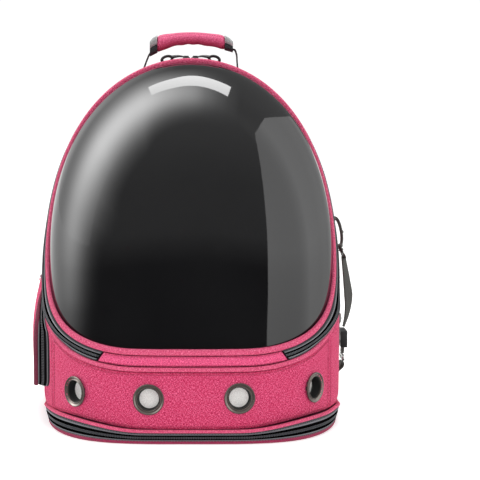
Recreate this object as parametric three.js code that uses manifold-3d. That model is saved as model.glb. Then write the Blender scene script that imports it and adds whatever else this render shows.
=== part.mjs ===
// A domed pet carrier backpack, in millimetres.
// +z is up and z = 0 is the underside of the base. The domed front faces -y, x runs across
// the front, and y = 0 is the plane of the upright sides of the dome's rim.
import * as THREE from 'three';
import { mergeVertices } from 'three/addons/utils/BufferGeometryUtils.js';
import Module from 'manifold-3d';

const wasm = await Module();
wasm.setup();

// ---------------------------------------------------------------- driving dimensions
const HALF_WIDTH = 157.5;      // body, at the dome's rim
const FRONT_REACH = 158;       // how far the curved front stands before y = 0
const BODY_DEPTH = 120;        // side wall behind y = 0
const TOP = 391;               // crown of the body
const SPRING = 169;            // where the arch leaves the upright sides
const ARCH_POWER = 2.345;      // fullness of the arch
const PLAN_POWER_LOW = 2.85;   // fullness of the front in plan, up to SPRING
const PLAN_POWER_TOP = 2.15;   // and at the crown
const GAP = 0.35;              // between neighbouring pieces
const CLOTH = 3;               // lined cloth wall

const BASE = { floor: 3, lower: 3.6, band: 12.6, upper: 17.2 }; // heights of the base's layers
const BASE_HALF = 159.5;       // half width of the base, and its reach before y = 0
const BASE_POWER = 3;          // fullness of its front
const BASE_ROUND = 24;         // its back corners
const WALL_FOOT = BASE.upper + GAP;

const RIM_LOW = 93.6;          // height of the dome's lower edge at the front
const RIM_FLAT = 56;           // half length of its level stretch
const RIM_RISE = 210;          // height of its rising corner
const RIM_POWER = 2;         // fullness of that corner
const STRIP = { rim: 4.3, zip: 15, piping: 20.3 }; // widths out from the dome's edge
const BODY_EDGE = STRIP.piping + 0.9;
const GUSSET_HALF = 93;        // half length of the cloth hinge
const SEAM = 165;              // front panel's half length along the plan
const DOME_WALL = 2;
const DOME_SINK = 4;           // how far the shell lies inside the rim's outer face

const SIDE_SWELL = 13.5;       // outward swell of the soft side walls
const BACK_PAD = 6;            // thickness of the padded back

const VENT = { hole: 11.6, mesh: 14 };
const GROMMETS = [             // along the plan from the centre line, and height
  { name: '1', side: -1, along: 124, height: 48.5 },
  { name: '2', side: -1, along: 42.5, height: 45.5 },
  { name: '3', side: 1, along: 48.5, height: 46.5 },
  { name: '4', side: 1, along: 136, height: 51 },
];

const POCKET = { front: -70, back: 106, foot: 44, head: 146, frontRound: [66, 60], backRound: [40, 40], footRound: [9, 9], lead: 18, gussetHead: 3.4, face: 2.6, crown: 1, wall: 2, root: 2.4 };
const POCKET_OUT = [[-70, 163.5], [-35, 167.5], [0, 171.5], [50, 177], [106, 175]]; // its edge's distance from the middle plane along y
const SLIM_POCKET = { front: 20, back: 110, foot: 25, head: 96, root: 1.3, wall: 1.6, binding: 6, bindingWall: 2.6 };

const HANDLE = { y: 60, shift: 2, lean: 0.045, width: 27, grip: 14, wrap: 13, web: 2.2, webWidth: 23, rise: 1.6 };
const HANDLE_LINE = [          // centre line of the carrying handle, right half
  { x: 0, z: 418 }, { x: 20, z: 416.2 }, { x: 34, z: 411.2 }, { x: 43, z: 404.5 }, { x: 49.6, z: 394.5 }, { x: 54, z: 385 }, { x: 57.5, z: 375 },
];
const HANDLE_ENDS = { grip: 37.5, wrap: 46.5 };

const V = (x, y, z) => new THREE.Vector3(x, y, z);
const lerp = THREE.MathUtils.lerp;
const smooth = THREE.MathUtils.smoothstep;

// ---------------------------------------------------------------- solids from grids
// A closed solid from points and polygons: coincident points are joined, and the faces are
// turned to point outward.
function solid(points, faces) {
  const index = new Map(), kept = [], of = points.map((p) => {
    const key = [p.x, p.y, p.z].map((c) => Math.round(c * 1e4)).join();
    if (!index.has(key)) { index.set(key, kept.length); kept.push(p); }
    return index.get(key);
  });
  const tris = [];
  for (const f of faces) {
    for (let i = 1; i + 1 < f.length; i++) {
      const t = [of[f[0]], of[f[i]], of[f[i + 1]]];
      if (t[0] !== t[1] && t[1] !== t[2] && t[2] !== t[0]) tris.push(t);
    }
  }
  let volume = 0;
  for (const [a, b, c] of tris) volume += kept[a].dot(V(0, 0, 0).crossVectors(kept[b], kept[c]));
  if (volume < 0) tris.forEach((t) => t.reverse());
  const geometry = new THREE.BufferGeometry();
  geometry.setAttribute('position', new THREE.Float32BufferAttribute(kept.flatMap((p) => [p.x, p.y, p.z]), 3));
  geometry.setIndex(tris.flat());
  return geometry;
}

// A solid through sections of equal length: closed on itself, or capped at both ends.
function loft(sections, closed = false) {
  const n = sections[0].length, m = sections.length, faces = [];
  for (let i = 0; i < (closed ? m : m - 1); i++) {
    const j = (i + 1) % m;
    for (let k = 0; k < n; k++) {
      const l = (k + 1) % n;
      faces.push([i * n + k, i * n + l, j * n + l, j * n + k]);
    }
  }
  if (!closed) {
    faces.push([...Array(n).keys()].reverse(), [...Array(n).keys()].map((k) => (m - 1) * n + k));
  }
  return solid(sections.flat(), faces);
}

// A wall between an outer and an inner face, each given by rows of points.
function wall(outer, inner) {
  const rows = outer.length, cols = outer[0].length, faces = [], size = rows * cols;
  const at = (i, j, side) => side * size + i * cols + j;
  for (let i = 0; i + 1 < rows; i++) {
    for (let j = 0; j + 1 < cols; j++) {
      faces.push([at(i, j, 0), at(i, j + 1, 0), at(i + 1, j + 1, 0), at(i + 1, j, 0)]);
      faces.push([at(i, j, 1), at(i + 1, j, 1), at(i + 1, j + 1, 1), at(i, j + 1, 1)]);
    }
  }
  const edge = (a, b) => faces.push([at(...a, 0), at(...a, 1), at(...b, 1), at(...b, 0)]);
  for (let j = 0; j + 1 < cols; j++) { edge([0, j], [0, j + 1]); edge([rows - 1, j + 1], [rows - 1, j]); }
  for (let i = 0; i + 1 < rows; i++) { edge([i + 1, 0], [i, 0]); edge([i, cols - 1], [i + 1, cols - 1]); }
  return solid([...outer.flat(), ...inner.flat()], faces);
}

// A shell over a closed outline: rings of points from the outline to one middle point.
function cap(outerRings, innerRings) {
  const n = outerRings[0].length, rings = outerRings.length, size = n * rings, faces = [];
  for (let r = 0; r + 1 < rings; r++) {
    for (let k = 0; k < n; k++) {
      const l = (k + 1) % n, a = r * n, b = a + n;
      faces.push([a + k, a + l, b + l, b + k]);
      faces.push([size + a + k, size + b + k, size + b + l, size + a + l]);
    }
  }
  for (let k = 0; k < n; k++) {
    const l = (k + 1) % n;
    faces.push([k, size + k, size + l, l]);
  }
  return solid([...outerRings.flat(), ...innerRings.flat()], faces);
}

// A strip or rod along points: width lies along the given direction, thickness across it.
function along(points, widthDir, width, thick, corners = 4, tangents = null) {
  const at = (list, i) => (Array.isArray(list) ? list[i] : list);
  return loft(points.map((p, i) => {
    const t = tangents ? tangents[i] : points[Math.min(i + 1, points.length - 1)].clone().sub(points[Math.max(i - 1, 0)]).normalize();
    const w = at(widthDir, i).clone().addScaledVector(t, -at(widthDir, i).dot(t)).normalize();
    const h = V(0, 0, 0).crossVectors(t, w);
    return outline(corners, at(width, i) / 2, at(thick, i) / 2).map(([a, b]) => p.clone().addScaledVector(w, a).addScaledVector(h, b));
  }));
}

// A rectangle, or a rounded section for more corners.
function outline(corners, a, b) {
  if (corners === 4) return [[-a, -b], [a, -b], [a, b], [-a, b]];
  return [...Array(corners).keys()].map((k) => {
    const t = ((k + 0.5) / corners) * 2 * Math.PI, c = Math.cos(t), s = Math.sin(t);
    return [a * Math.sign(c) * Math.abs(c) ** 0.6, b * Math.sign(s) * Math.abs(s) ** 0.6];
  });
}

// A ring of round bar around an upright oval in the plane of two directions.
function barRing(centre, u, v, halfU, halfV, bar, steps = 16, sides = 6) {
  const across = V(0, 0, 0).crossVectors(u, v).normalize();
  return loft([...Array(steps).keys()].map((i) => {
    const t = (i / steps) * 2 * Math.PI, c = Math.cos(t), s = Math.sin(t);
    const out = u.clone().multiplyScalar(Math.sign(c) * Math.abs(c) ** 0.7).addScaledVector(v, Math.sign(s) * Math.abs(s) ** 0.7);
    const p = centre.clone().addScaledVector(u, halfU * Math.sign(c) * Math.abs(c) ** 0.7).addScaledVector(v, halfV * Math.sign(s) * Math.abs(s) ** 0.7);
    out.normalize();
    return [...Array(sides).keys()].map((k) => {
      const a = (k / sides) * 2 * Math.PI;
      return p.clone().addScaledVector(out, (bar / 2) * Math.cos(a)).addScaledVector(across, (bar / 2) * Math.sin(a));
    });
  }), true);
}

// ---------------------------------------------------------------- boolean cut
function manifoldOf(geometry) {
  const g = geometry.clone();
  g.deleteAttribute('normal');
  g.deleteAttribute('uv');
  const m = mergeVertices(g, 1e-4);
  return new wasm.Manifold(new wasm.Mesh({
    numProp: 3,
    vertProperties: new Float32Array(m.attributes.position.array),
    triVerts: new Uint32Array(m.index.array),
  }));
}
function cut(geometry, tools) {
  let body = manifoldOf(geometry);
  for (const t of tools) body = body.subtract(manifoldOf(t));
  const mesh = body.getMesh();
  const g = new THREE.BufferGeometry();
  g.setAttribute('position', new THREE.BufferAttribute(new Float32Array(mesh.vertProperties), 3));
  g.setIndex(new THREE.BufferAttribute(new Uint32Array(mesh.triVerts), 1));
  return g;
}

// ---------------------------------------------------------------- the body's outer face
// Half width of the arch at a height.
function archHalf(z) {
  const t = Math.min(Math.max((z - SPRING) / (TOP - SPRING), 0), 1);
  return HALF_WIDTH * Math.sqrt(1 - t ** ARCH_POWER);
}
const planPower = (z) => lerp(PLAN_POWER_LOW, PLAN_POWER_TOP, Math.min(Math.max((z - SPRING) / (TOP - SPRING), 0), 1));

// A quarter of the plan, from the front centre line to the side.
function planPoint(angle, a, b, power) {
  const s = Math.sin(angle), c = Math.cos(angle);
  const r = ((Math.abs(s) / a) ** power + (Math.abs(c) / b) ** power) ** (-1 / power);
  return V(r * s, -r * c, 0);
}
class PlanCurve extends THREE.Curve {
  getPoint(t) { return planPoint((t * Math.PI) / 2, HALF_WIDTH, FRONT_REACH, PLAN_POWER_LOW); }
}
const plan = new PlanCurve();
const QUARTER = plan.getLength();   // 263.6: length of that quarter
const planAngle = (s) => (Math.sign(s) * plan.getUtoTmapping(Math.min(Math.abs(s) / QUARTER, 1)) * Math.PI) / 2;

// The arch from the left foot over the crown to the right foot.
class ArchCurve extends THREE.Curve {
  constructor(foot) { super(); this.foot = foot; }
  getPoint(t) {
    const u = 2 * t - 1, leg = 0.25, side = Math.sign(u) || 1, a = Math.abs(u);
    if (a > 1 - leg) return V(side * HALF_WIDTH, 0, lerp(SPRING, this.foot, (a - (1 - leg)) / leg));
    const angle = (a / (1 - leg)) ** 0.8 * (Math.PI / 2);
    return V(side * HALF_WIDTH * Math.sin(angle), 0, SPRING + (TOP - SPRING) * Math.max(Math.cos(angle), 0) ** (2 / ARCH_POWER));
  }
}
// Points along the arch with the outward direction in its plane.
function archStations(curve, count) {
  return curve.getSpacedPoints(count).map((p, i) => {
    const e = 0.002, u = i / count, a = curve.getPointAt(Math.max(u - e, 0)), b = curve.getPointAt(Math.min(u + e, 1));
    const t = b.sub(a).normalize();
    return { x: p.x, z: p.z, nx: -t.z, nz: t.x };
  });
}

// A point of the outer face: s runs along the plan from the front centre line, and past
// QUARTER straight back along the side.
function face(side, s, z) {
  if (s < 0) return face(-side, -s, z);
  const a = archHalf(z);
  if (s >= QUARTER) return V(side * a, s - QUARTER, z);
  const p = planPoint(planAngle(s), a, (FRONT_REACH * a) / HALF_WIDTH, planPower(z));
  return V(side * p.x, p.y, z);
}
function skinNormal(side, s, z) {
  const e = 0.6;
  const ts = face(side, s + e, z).sub(face(side, s - e, z));
  const tz = face(side, s, z + e).sub(face(side, s, z - e));
  return V(0, 0, 0).crossVectors(ts, tz).multiplyScalar(side).normalize();
}
const skin = (side, s, z, n = 0) => face(side, s, z).addScaledVector(skinNormal(side, s, z), n);

// Outward swell of the soft side wall at a depth y and a height z.
function swell(y, z) {
  const depth = y < 70 ? smooth(y, -10, 70) : 1 - 0.5 * smooth(y, 70, BODY_DEPTH);
  return SIDE_SWELL * depth * (0.45 + 0.55 * smooth(z, 10, 75)) * (1 - smooth(z, 130, 320));
}
// How far the seam over the base stands higher at the front corners than at the front centre.
const footRise = (x, y) => 8.5 * smooth(Math.abs(x), 50, 132) * (1 - smooth(y, -85, -4));
function wallRise(side, s) { // the same for the wall's foot, clear of the piping under it
  if (s >= QUARTER) return 0;
  const p = face(side, s, WALL_FOOT), rise = footRise(p.x, p.y);
  return rise + 0.9 * smooth(rise, 0, 1.2);
}
// The outer face with that swell.
const soft = (side, s, z, n = 0) => skin(side, s, z, n + swell(s - QUARTER, z));

// ---------------------------------------------------------------- the dome's rim
// The rising corner, in plan length and height.
class CornerCurve extends THREE.Curve {
  getPoint(t) {
    const w = (t * Math.PI) / 2;
    return V(RIM_FLAT + (QUARTER - RIM_FLAT) * Math.sin(w) ** (2 / RIM_POWER), RIM_LOW + RIM_RISE * (1 - Math.max(Math.cos(w), 0) ** (2 / RIM_POWER)), 0);
  }
}
const corner = new CornerCurve();
const CORNER_LENGTH = corner.getLength();
const RIM_SHOULDER = RIM_LOW + RIM_RISE;
// The crown above the corner, from the shoulder to the top.
class CrownCurve extends THREE.Curve {
  getPoint(t) {
    const first = Math.acos(((RIM_SHOULDER - SPRING) / (TOP - SPRING)) ** (ARCH_POWER / 2));
    const angle = first * (1 - t);
    return V(HALF_WIDTH * Math.sin(angle), 0, SPRING + (TOP - SPRING) * Math.cos(angle) ** (2 / ARCH_POWER));
  }
}
const crown = new CrownCurve();
const CROWN_LENGTH = crown.getLength();
const RIM_HALF = RIM_FLAT + CORNER_LENGTH + CROWN_LENGTH;

// A point a distance q along one half of the rim, d outward from it and n off the face.
function onRim(side, q, d, n) {
  if (q < 0) return onRim(-side, -q, d, n);
  if (q <= RIM_FLAT) return skin(side, q, RIM_LOW - d, n);
  if (q <= RIM_FLAT + CORNER_LENGTH) {
    const u = (q - RIM_FLAT) / CORNER_LENGTH, p = corner.getPointAt(u), t = corner.getTangentAt(u);
    return soft(side, p.x + d * t.y, p.y - d * t.x, n);
  }
  const u = Math.min((q - RIM_FLAT - CORNER_LENGTH) / CROWN_LENGTH, 1), p = crown.getPointAt(u);
  const t = crown.getTangentAt(Math.min(Math.max(u, 0.001), 0.999));
  if (u === 1) t.set(-1, 0, 0);
  const off = n + swell(d, p.z);
  return V(side * (p.x + t.z * off), d, p.z - t.x * off);
}
// Where the line d outward from the rim lies on the face: height for a plan length, and
// plan length for a height.
function rimOffset(q, d) {
  if (q <= RIM_FLAT) return { s: q, z: RIM_LOW - d };
  const u = (q - RIM_FLAT) / CORNER_LENGTH, p = corner.getPointAt(u), t = corner.getTangentAt(u);
  return { s: p.x + d * t.y, z: p.y - d * t.x };
}
function bisect(low, high, tooLow) {
  for (let i = 0; i < 40; i++) {
    const mid = (low + high) / 2;
    if (tooLow(mid)) low = mid; else high = mid;
  }
  return low;
}
const RIM_CORNER_END = RIM_FLAT + CORNER_LENGTH;
const edgeHeight = (s, d) => rimOffset(bisect(0, RIM_CORNER_END, (q) => rimOffset(q, d).s < s), d).z;
function edgePlan(z, d) {
  if (z >= RIM_SHOULDER - 1) return QUARTER + d;
  return rimOffset(bisect(0, RIM_CORNER_END, (q) => rimOffset(q, d).z < z), d).s;
}
// Distances along one half of the rim, closer together around the corner.
function rimSteps(from, to, step) {
  const count = Math.max(Math.round((to - from) / step), 1);
  return [...Array(count + 1).keys()].map((i) => lerp(from, to, i / count));
}
// Both halves in one run, from the right half's start over the top to the left half's.
function rimRun(from, step) {
  const half = rimSteps(from, RIM_HALF, step);
  return [...half.map((q) => [1, q]), ...half.slice(0, -1).reverse().map((q) => [-1, q])];
}
// A strip between two distances from the rim, on the whole rim.
function rimStrip(run, d0, d1, n0, n1, closed) {
  return loft(run.map(([side, q]) => [[d0, n0], [d1, n0], [d1, n1], [d0, n1]].map(([d, n]) => onRim(side, q, d, n))), closed);
}

// ---------------------------------------------------------------- the assembly
const pack = new THREE.Group();
function add(name, geometry, colour, roughness, metalness = 0) {
  const mesh = new THREE.Mesh(geometry, new THREE.MeshStandardMaterial({ color: colour, roughness, metalness }));
  mesh.name = name;
  pack.add(mesh);
  return mesh;
}
const PINK = 0xd8436f, PINK_DARK = 0xb52b55, CHARCOAL = 0x3c4044, SMOKE = 0x1e1e1f, GUNMETAL = 0x6f6862, PALE = 0xd8d4d4, WEB = 0x55584f, GREY = 0xa8a8a6;

// Base: a floor plate, a leaning zip band and two pipings on the body's plan.
const BACK = BODY_DEPTH + GAP + BACK_PAD;
function planLoop(off) {
  const loop = [], push = (x, y, nx, ny) => loop.push(V(x + nx * off, y + ny * off, 0)), front = 15, e = 0.01;
  const at = (t) => planPoint((Math.sign(t) * plan.getUtoTmapping(Math.abs(t)) * Math.PI) / 2, BASE_HALF, BASE_HALF, BASE_POWER);
  for (let i = -front; i <= front; i++) {
    const u = i / front, p = at(u), along = at(Math.min(u + e, 1)).sub(at(Math.max(u - e, -1))).normalize();
    push(p.x, p.y, along.y, -along.x);
  }
  for (const side of [1, -1]) {
    for (let i = 0; i <= 4; i++) {
      const t = ((side > 0 ? i : 4 - i) / 4) * (Math.PI / 2), c = Math.cos(t), s = Math.sin(t);
      push(side * (BASE_HALF - BASE_ROUND + BASE_ROUND * c), BACK - BASE_ROUND + BASE_ROUND * s, side * c, s);
    }
  }
  return loop;
}
function baseRing(rows) { // rows: { off, z }, around the section
  const rise = planLoop(0).map((p) => footRise(p.x, p.y)), foot = BASE.lower + GAP;
  const share = (z) => Math.min(Math.max((z - foot) / (BASE.band - foot), 0), 1);
  const loops = rows.map(({ off, z }) => planLoop(off).map((p, i) => p.setZ(z + rise[i] * share(z))));
  return loft(loops[0].map((_, i) => loops.map((l) => l[i])), true);
}
const floorLoop = planLoop(-7.6);
add('base_floor', new THREE.ExtrudeGeometry(new THREE.Shape(floorLoop.map((p) => new THREE.Vector2(p.x, p.y))), { depth: BASE.floor, bevelEnabled: false }), PINK_DARK, 0.9);
add('base_piping_lower', baseRing([{ off: -7.2, z: 0 }, { off: -3, z: 0 }, { off: -1.6, z: 1.8 }, { off: -3, z: BASE.lower }, { off: -7.2, z: BASE.lower }]), PINK_DARK, 0.85);
add('base_zip_band', baseRing([{ off: -5, z: BASE.lower + GAP }, { off: -2.6, z: BASE.lower + GAP }, { off: 1.4, z: BASE.band }, { off: -1, z: BASE.band }]), CHARCOAL, 0.7);
add('base_piping_upper', baseRing([{ off: -2, z: BASE.band + GAP }, { off: 3, z: BASE.band + GAP }, { off: 5, z: 15 }, { off: 3, z: BASE.upper }, { off: -2, z: BASE.upper }]), PINK, 0.85);

// Side wall: up one side, over the top and down the other, swelling at the sides.
const wallArch = new ArchCurve(WALL_FOOT);
function sideWall(n) {
  const cols = 9;
  return archStations(wallArch, 52).map(({ x, z, nx, nz }) => {
    const side = Math.sign(x) || 1;
    const seam = z < edgeHeight(SEAM + GAP, BODY_EDGE) ? SEAM + GAP : Math.max(SEAM + GAP, edgePlan(z, BODY_EDGE));
    return [...Array(cols).keys()].map((j) => {
      const s = lerp(seam, QUARTER + BODY_DEPTH, j / (cols - 1)), off = n + swell(s - QUARTER, z);
      const up = wallRise(side, s) * Math.max(1 - (z - WALL_FOOT) / 45, 0);
      return s < QUARTER ? skin(side, s, z + up, off) : V(x + nx * off, s - QUARTER, z + nz * off);
    });
  });
}
add('side_band', wall(sideWall(0), sideWall(-CLOTH)), PINK, 0.9);

// Back: a padded plate on the arch's outline.
const backShape = new THREE.Shape(archStations(new ArchCurve(WALL_FOOT + 1.2), 44).map(({ x, z, nx, nz }) => {
  const off = swell(BODY_DEPTH, z) - 1.5;
  return new THREE.Vector2(x + nx * off, z + nz * off);
}));
add('back_panel', new THREE.ExtrudeGeometry(backShape, { depth: BACK_PAD - 2, bevelEnabled: true, bevelThickness: 1, bevelSize: 1, bevelSegments: 1 })
  .rotateX(Math.PI / 2).translate(0, BACK - 1, 0), PINK, 0.9);

// Front panel under the dome, with an eyelet hole for each vent.
function frontFace(n) {
  const cols = 32, rows = 4;
  return [...Array(cols + 1).keys()].map((i) => {
    const s = lerp(-SEAM, SEAM, i / cols), side = Math.sign(s) || 1, a = Math.abs(s), head = edgeHeight(a, BODY_EDGE);
    return [...Array(rows + 1).keys()].map((j) => skin(side, a, lerp(WALL_FOOT + wallRise(side, a), head, j / rows), n));
  });
}
const UP = V(0, 1, 0);
const vents = GROMMETS.map((g) => ({ ...g, at: skin(g.side, g.along, g.height), out: skinNormal(g.side, g.along, g.height) }));
const facing = (geometry, { at, out }, n) => geometry.applyQuaternion(new THREE.Quaternion().setFromUnitVectors(UP, out)).translate(at.x + out.x * n, at.y + out.y * n, at.z + out.z * n);
add('front_panel', cut(wall(frontFace(0), frontFace(-CLOTH)), vents.map((v) => facing(new THREE.CylinderGeometry(VENT.hole, VENT.hole, 24, 20), v, 0))), PINK, 0.9);
const GROMMET = [ // profile of an eyelet: radius, height over the cloth
  { r: 10, h: -3.4 }, { r: 11, h: -3.4 }, { r: 11, h: 0.4 }, { r: 16.6, h: 0.4 }, { r: 16.6, h: 1.2 }, { r: 14.6, h: 2.9 }, { r: 11.6, h: 3.2 }, { r: 10, h: 2.2 }, { r: 10, h: -3.4 },
];
for (const v of vents) {
  add(`grommet_${v.name}`, facing(new THREE.LatheGeometry(GROMMET.map(({ r, h }) => new THREE.Vector2(r, h)), 18), v, 0), GUNMETAL, 0.35, 1);
  add(`vent_mesh_${v.name}`, facing(new THREE.CylinderGeometry(VENT.mesh, VENT.mesh, 1, 18), v, -4.8), PALE, 0.9);
}

// Dome door: clear shell, binding, zip, cloth hinge and the body's edge piping.
function domeDepth(x, z) {
  const t = Math.min(Math.max((z - SPRING) / (TOP - DOME_SINK - SPRING), 0), 1), p = planPower(z);
  const a = Math.max((HALF_WIDTH - DOME_SINK) * Math.sqrt(1 - t ** ARCH_POWER), 1e-6);
  return (((DOME_SINK - FRONT_REACH) * a) / (HALF_WIDTH - DOME_SINK)) * Math.max(1 - (Math.abs(x) / a) ** p, 0) ** (1 / p);
}
const DOME_HEART = 232, DOME_RINGS = [1, 0.989, 0.968, 0.93, 0.87, 0.78, 0.65, 0.48, 0.25, 0];
const rimLoop = rimRun(0, RIM_HALF / 28).slice(0, -1);
const domeEdge = rimLoop.map(([side, q]) => onRim(side, q, -2 * GAP, -DOME_SINK));
const domeOuter = DOME_RINGS.map((r) => domeEdge.map((p) => {
  if (r === 1) return p.clone();
  const x = p.x * r, z = lerp(DOME_HEART, p.z, r);
  return V(x, Math.min(domeDepth(x, z), -2 * GAP), z);
}));
// Inner face: each point moved in along the mean direction of the faces around it.
function innerRings(rings, thick, edge) {
  const n = rings[0].length;
  return rings.map((ring, r) => ring.map((p, k) => {
    const last = rings.length - 1;
    if (r === 0) return edge[k];
    if (r === last) return V(p.x, p.y + thick, p.z);
    const around = ring[(k + 1) % n].clone().sub(ring[(k + n - 1) % n]);
    const inward = rings[Math.min(r + 1, last)][k].clone().sub(rings[Math.max(r - 1, 0)][k]);
    const out = around.cross(inward).normalize();
    if (out.dot(p.clone().sub(V(0, 60, 200))) < 0) out.negate();
    return p.clone().addScaledVector(out, -thick);
  }));
}
const domeInnerEdge = rimLoop.map(([side, q]) => onRim(side, q, -2 * GAP, -DOME_SINK - DOME_WALL));
add('dome', cap(domeOuter, innerRings(domeOuter, DOME_WALL, domeInnerEdge)), SMOKE, 0.08);
add('dome_rim', rimStrip(rimLoop, 0, STRIP.rim, -DOME_SINK - DOME_WALL, 2.4, true), PINK, 0.85);
add('edge_piping', rimStrip(rimLoop, STRIP.zip + 2 * GAP, STRIP.piping, -2.6, 1.6, true), PINK, 0.85);
add('dome_zip', rimStrip(rimRun(GUSSET_HALF + GAP, 17), STRIP.rim + GAP, STRIP.zip, -2, 0.3, false), CHARCOAL, 0.7);
const hingeRun = rimSteps(-GUSSET_HALF, GUSSET_HALF, 16).map((q) => [1, q]);
add('hinge_gusset', rimStrip(hingeRun, STRIP.rim + GAP, STRIP.zip, -2, 0.3, false), PINK, 0.9);

// Zip sliders and pulls lying along the zip where its two ends meet at the top.
const ZIP_MID = (STRIP.rim + STRIP.zip) / 2;
function pullShape() {
  const s = new THREE.Shape([[9.4, -2.2], [12, -2.6], [20, -3.4], [24, -4], [27, -2.6], [28, 0], [27, 2.6], [24, 4], [20, 3.4], [12, 2.6], [9.4, 2.2]].map(([x, y]) => new THREE.Vector2(x, y)));
  const eye = new THREE.Path();
  eye.absellipse(24.2, 0, 1.9, 1.9, 0, 2 * Math.PI, true);
  s.holes.push(eye);
  return s;
}
// A geometry for the right side, or its mirror image with the faces still pointing outward.
function sided(geometry, side) {
  if (side > 0) return geometry;
  geometry.applyMatrix4(new THREE.Matrix4().makeScale(-1, 1, 1));
  if (!geometry.index) geometry.setIndex([...Array(geometry.attributes.position.count).keys()]);
  const i = geometry.index.array;
  for (let k = 0; k < i.length; k += 3) [i[k], i[k + 1]] = [i[k + 1], i[k]];
  return geometry;
}
for (const [name, side] of [['left', -1], ['right', 1]]) {
  const body = new THREE.Shape([[0.5, -4], [7, -4.6], [9, -2.4], [9, 2.4], [7, 4.6], [0.5, 4]].map(([x, y]) => new THREE.Vector2(x, y)));
  add(`zip_slider_${name}`, sided(new THREE.ExtrudeGeometry(body, { depth: 3.2, bevelEnabled: false }).translate(0, ZIP_MID, TOP + 0.8), side), GUNMETAL, 0.4, 1);
  const pull = new THREE.ExtrudeGeometry(pullShape(), { depth: 1.6, bevelEnabled: false, curveSegments: 6 })
    .translate(-9.4, 0, 0).rotateY(0.14).translate(9.4, ZIP_MID, TOP + 2.6);
  add(`zip_pull_${name}`, sided(pull, side), GUNMETAL, 0.4, 1);
}

// Left pocket: a zip gusset on the side wall and a crowned face over it. Its edge is a loop in y and z,
// round at the top and held back from the dome's edge.
const pocketLimit = (z) => face(-1, edgePlan(z, BODY_EDGE + 4.5), z).y;
const pocketLoop = (() => {
  const { front, back, foot, head, frontRound, backRound, footRound } = POCKET;
  const corners = [[back, foot, footRound, -90], [back, head, backRound, 0], [front, head, frontRound, 90], [front, foot, footRound, 180]];
  const path = new THREE.Path(corners.flatMap(([y, z, [ry, rz], from]) => {
    const cy = y === back ? back - ry : front + ry, cz = z === head ? head - rz : foot + rz;
    return [...Array(25).keys()].map((i) => {
      const t = THREE.MathUtils.degToRad(from + (90 * i) / 24), pz = cz + rz * Math.sin(t);
      return new THREE.Vector2(Math.max(cy + ry * Math.cos(t), pocketLimit(pz) + 7), pz);
    });
  }));
  path.closePath();
  return path.getSpacedPoints(60).slice(0, 60).map(({ x, y }) => ({ y: x, z: y }));
})();
const pocketInner = pocketLoop.map((p, i) => {
  const a = pocketLoop[(i + 59) % 60], b = pocketLoop[(i + 1) % 60], l = Math.hypot(b.y - a.y, b.z - a.z);
  return { y: p.y - (POCKET.wall * (b.z - a.z)) / l, z: p.z + (POCKET.wall * (b.y - a.y)) / l };
});
// The side wall's distance from the middle plane, before its swell.
function wallHalf(y, z) {
  const a = archHalf(z), p = planPower(z);
  return y >= 0 ? a : a * (1 - Math.min((-y * HALF_WIDTH) / (FRONT_REACH * a), 1) ** p) ** (1 / p);
}
const onSide = (side, y, z, n) => V(side * (wallHalf(y, z) + swell(y, z) + n), y, z);
function pocketDepth({ y, z }) {
  const i = Math.min(Math.max(POCKET_OUT.findIndex(([v]) => v > y) - 1, 0), POCKET_OUT.length - 2);
  const [[y0, x0], [y1, x1]] = y >= POCKET.back ? POCKET_OUT.slice(-2) : POCKET_OUT.slice(i, i + 2);
  const out = lerp(x0, x1, (y - y0) / (y1 - y0)) - wallHalf(y, z) - swell(y, z);
  return lerp(Math.max(out, POCKET.gussetHead), POCKET.gussetHead, smooth(z, 92, POCKET.head));
}
// At the pocket's front the gusset leans forward to the wall.
const pocketRoot = ({ y, z }) => Math.min(y, Math.max(y - POCKET.lead * (1 - smooth(y, POCKET.front, -20)), pocketLimit(z))) - y;
add('side_pocket_gusset', loft(pocketLoop.map((p, i) => {
  const q = pocketInner[i], lean = pocketRoot(p);
  return [onSide(-1, p.y + lean, p.z, POCKET.root), onSide(-1, p.y, p.z, pocketDepth(p)), onSide(-1, q.y, q.z, pocketDepth(q)), onSide(-1, q.y + lean, q.z, POCKET.root)];
}), true), CHARCOAL, 0.7);
const pocketMid = { y: 22, z: 88 };
const pocketRings = (n) => [1, 0.88, 0.7, 0.4, 0].map((r) => pocketLoop.map((p) => {
  const at = { y: lerp(pocketMid.y, p.y, r), z: lerp(pocketMid.z, p.z, r) };
  return onSide(-1, at.y, at.z, n + pocketDepth(at) + POCKET.crown * (1 - r * r));
}));
add('side_pocket_face', cap(pocketRings(GAP + POCKET.face), pocketRings(GAP)), PINK, 0.9);

// Right pocket: a flat mesh panel that lies on the side wall, bound along its open top.
function onPocket(zs, n) {
  const { front, back } = SLIM_POCKET, count = 8;
  return [...Array(count + 1).keys()].map((i) => zs.map((z) => onSide(1, lerp(front, back, i / count), z, n)));
}
const slimRows = [0, 0.25, 0.5, 0.75, 1].map((t) => lerp(SLIM_POCKET.foot, SLIM_POCKET.head, t));
const bindingRows = [SLIM_POCKET.head + GAP, SLIM_POCKET.head + SLIM_POCKET.binding];
add('mesh_pocket', wall(onPocket(slimRows, SLIM_POCKET.root + SLIM_POCKET.wall), onPocket(slimRows, SLIM_POCKET.root)), CHARCOAL, 0.9);
add('mesh_pocket_binding', wall(onPocket(bindingRows, SLIM_POCKET.root + SLIM_POCKET.bindingWall), onPocket(bindingRows, SLIM_POCKET.root)), GREY, 0.9);

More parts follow.
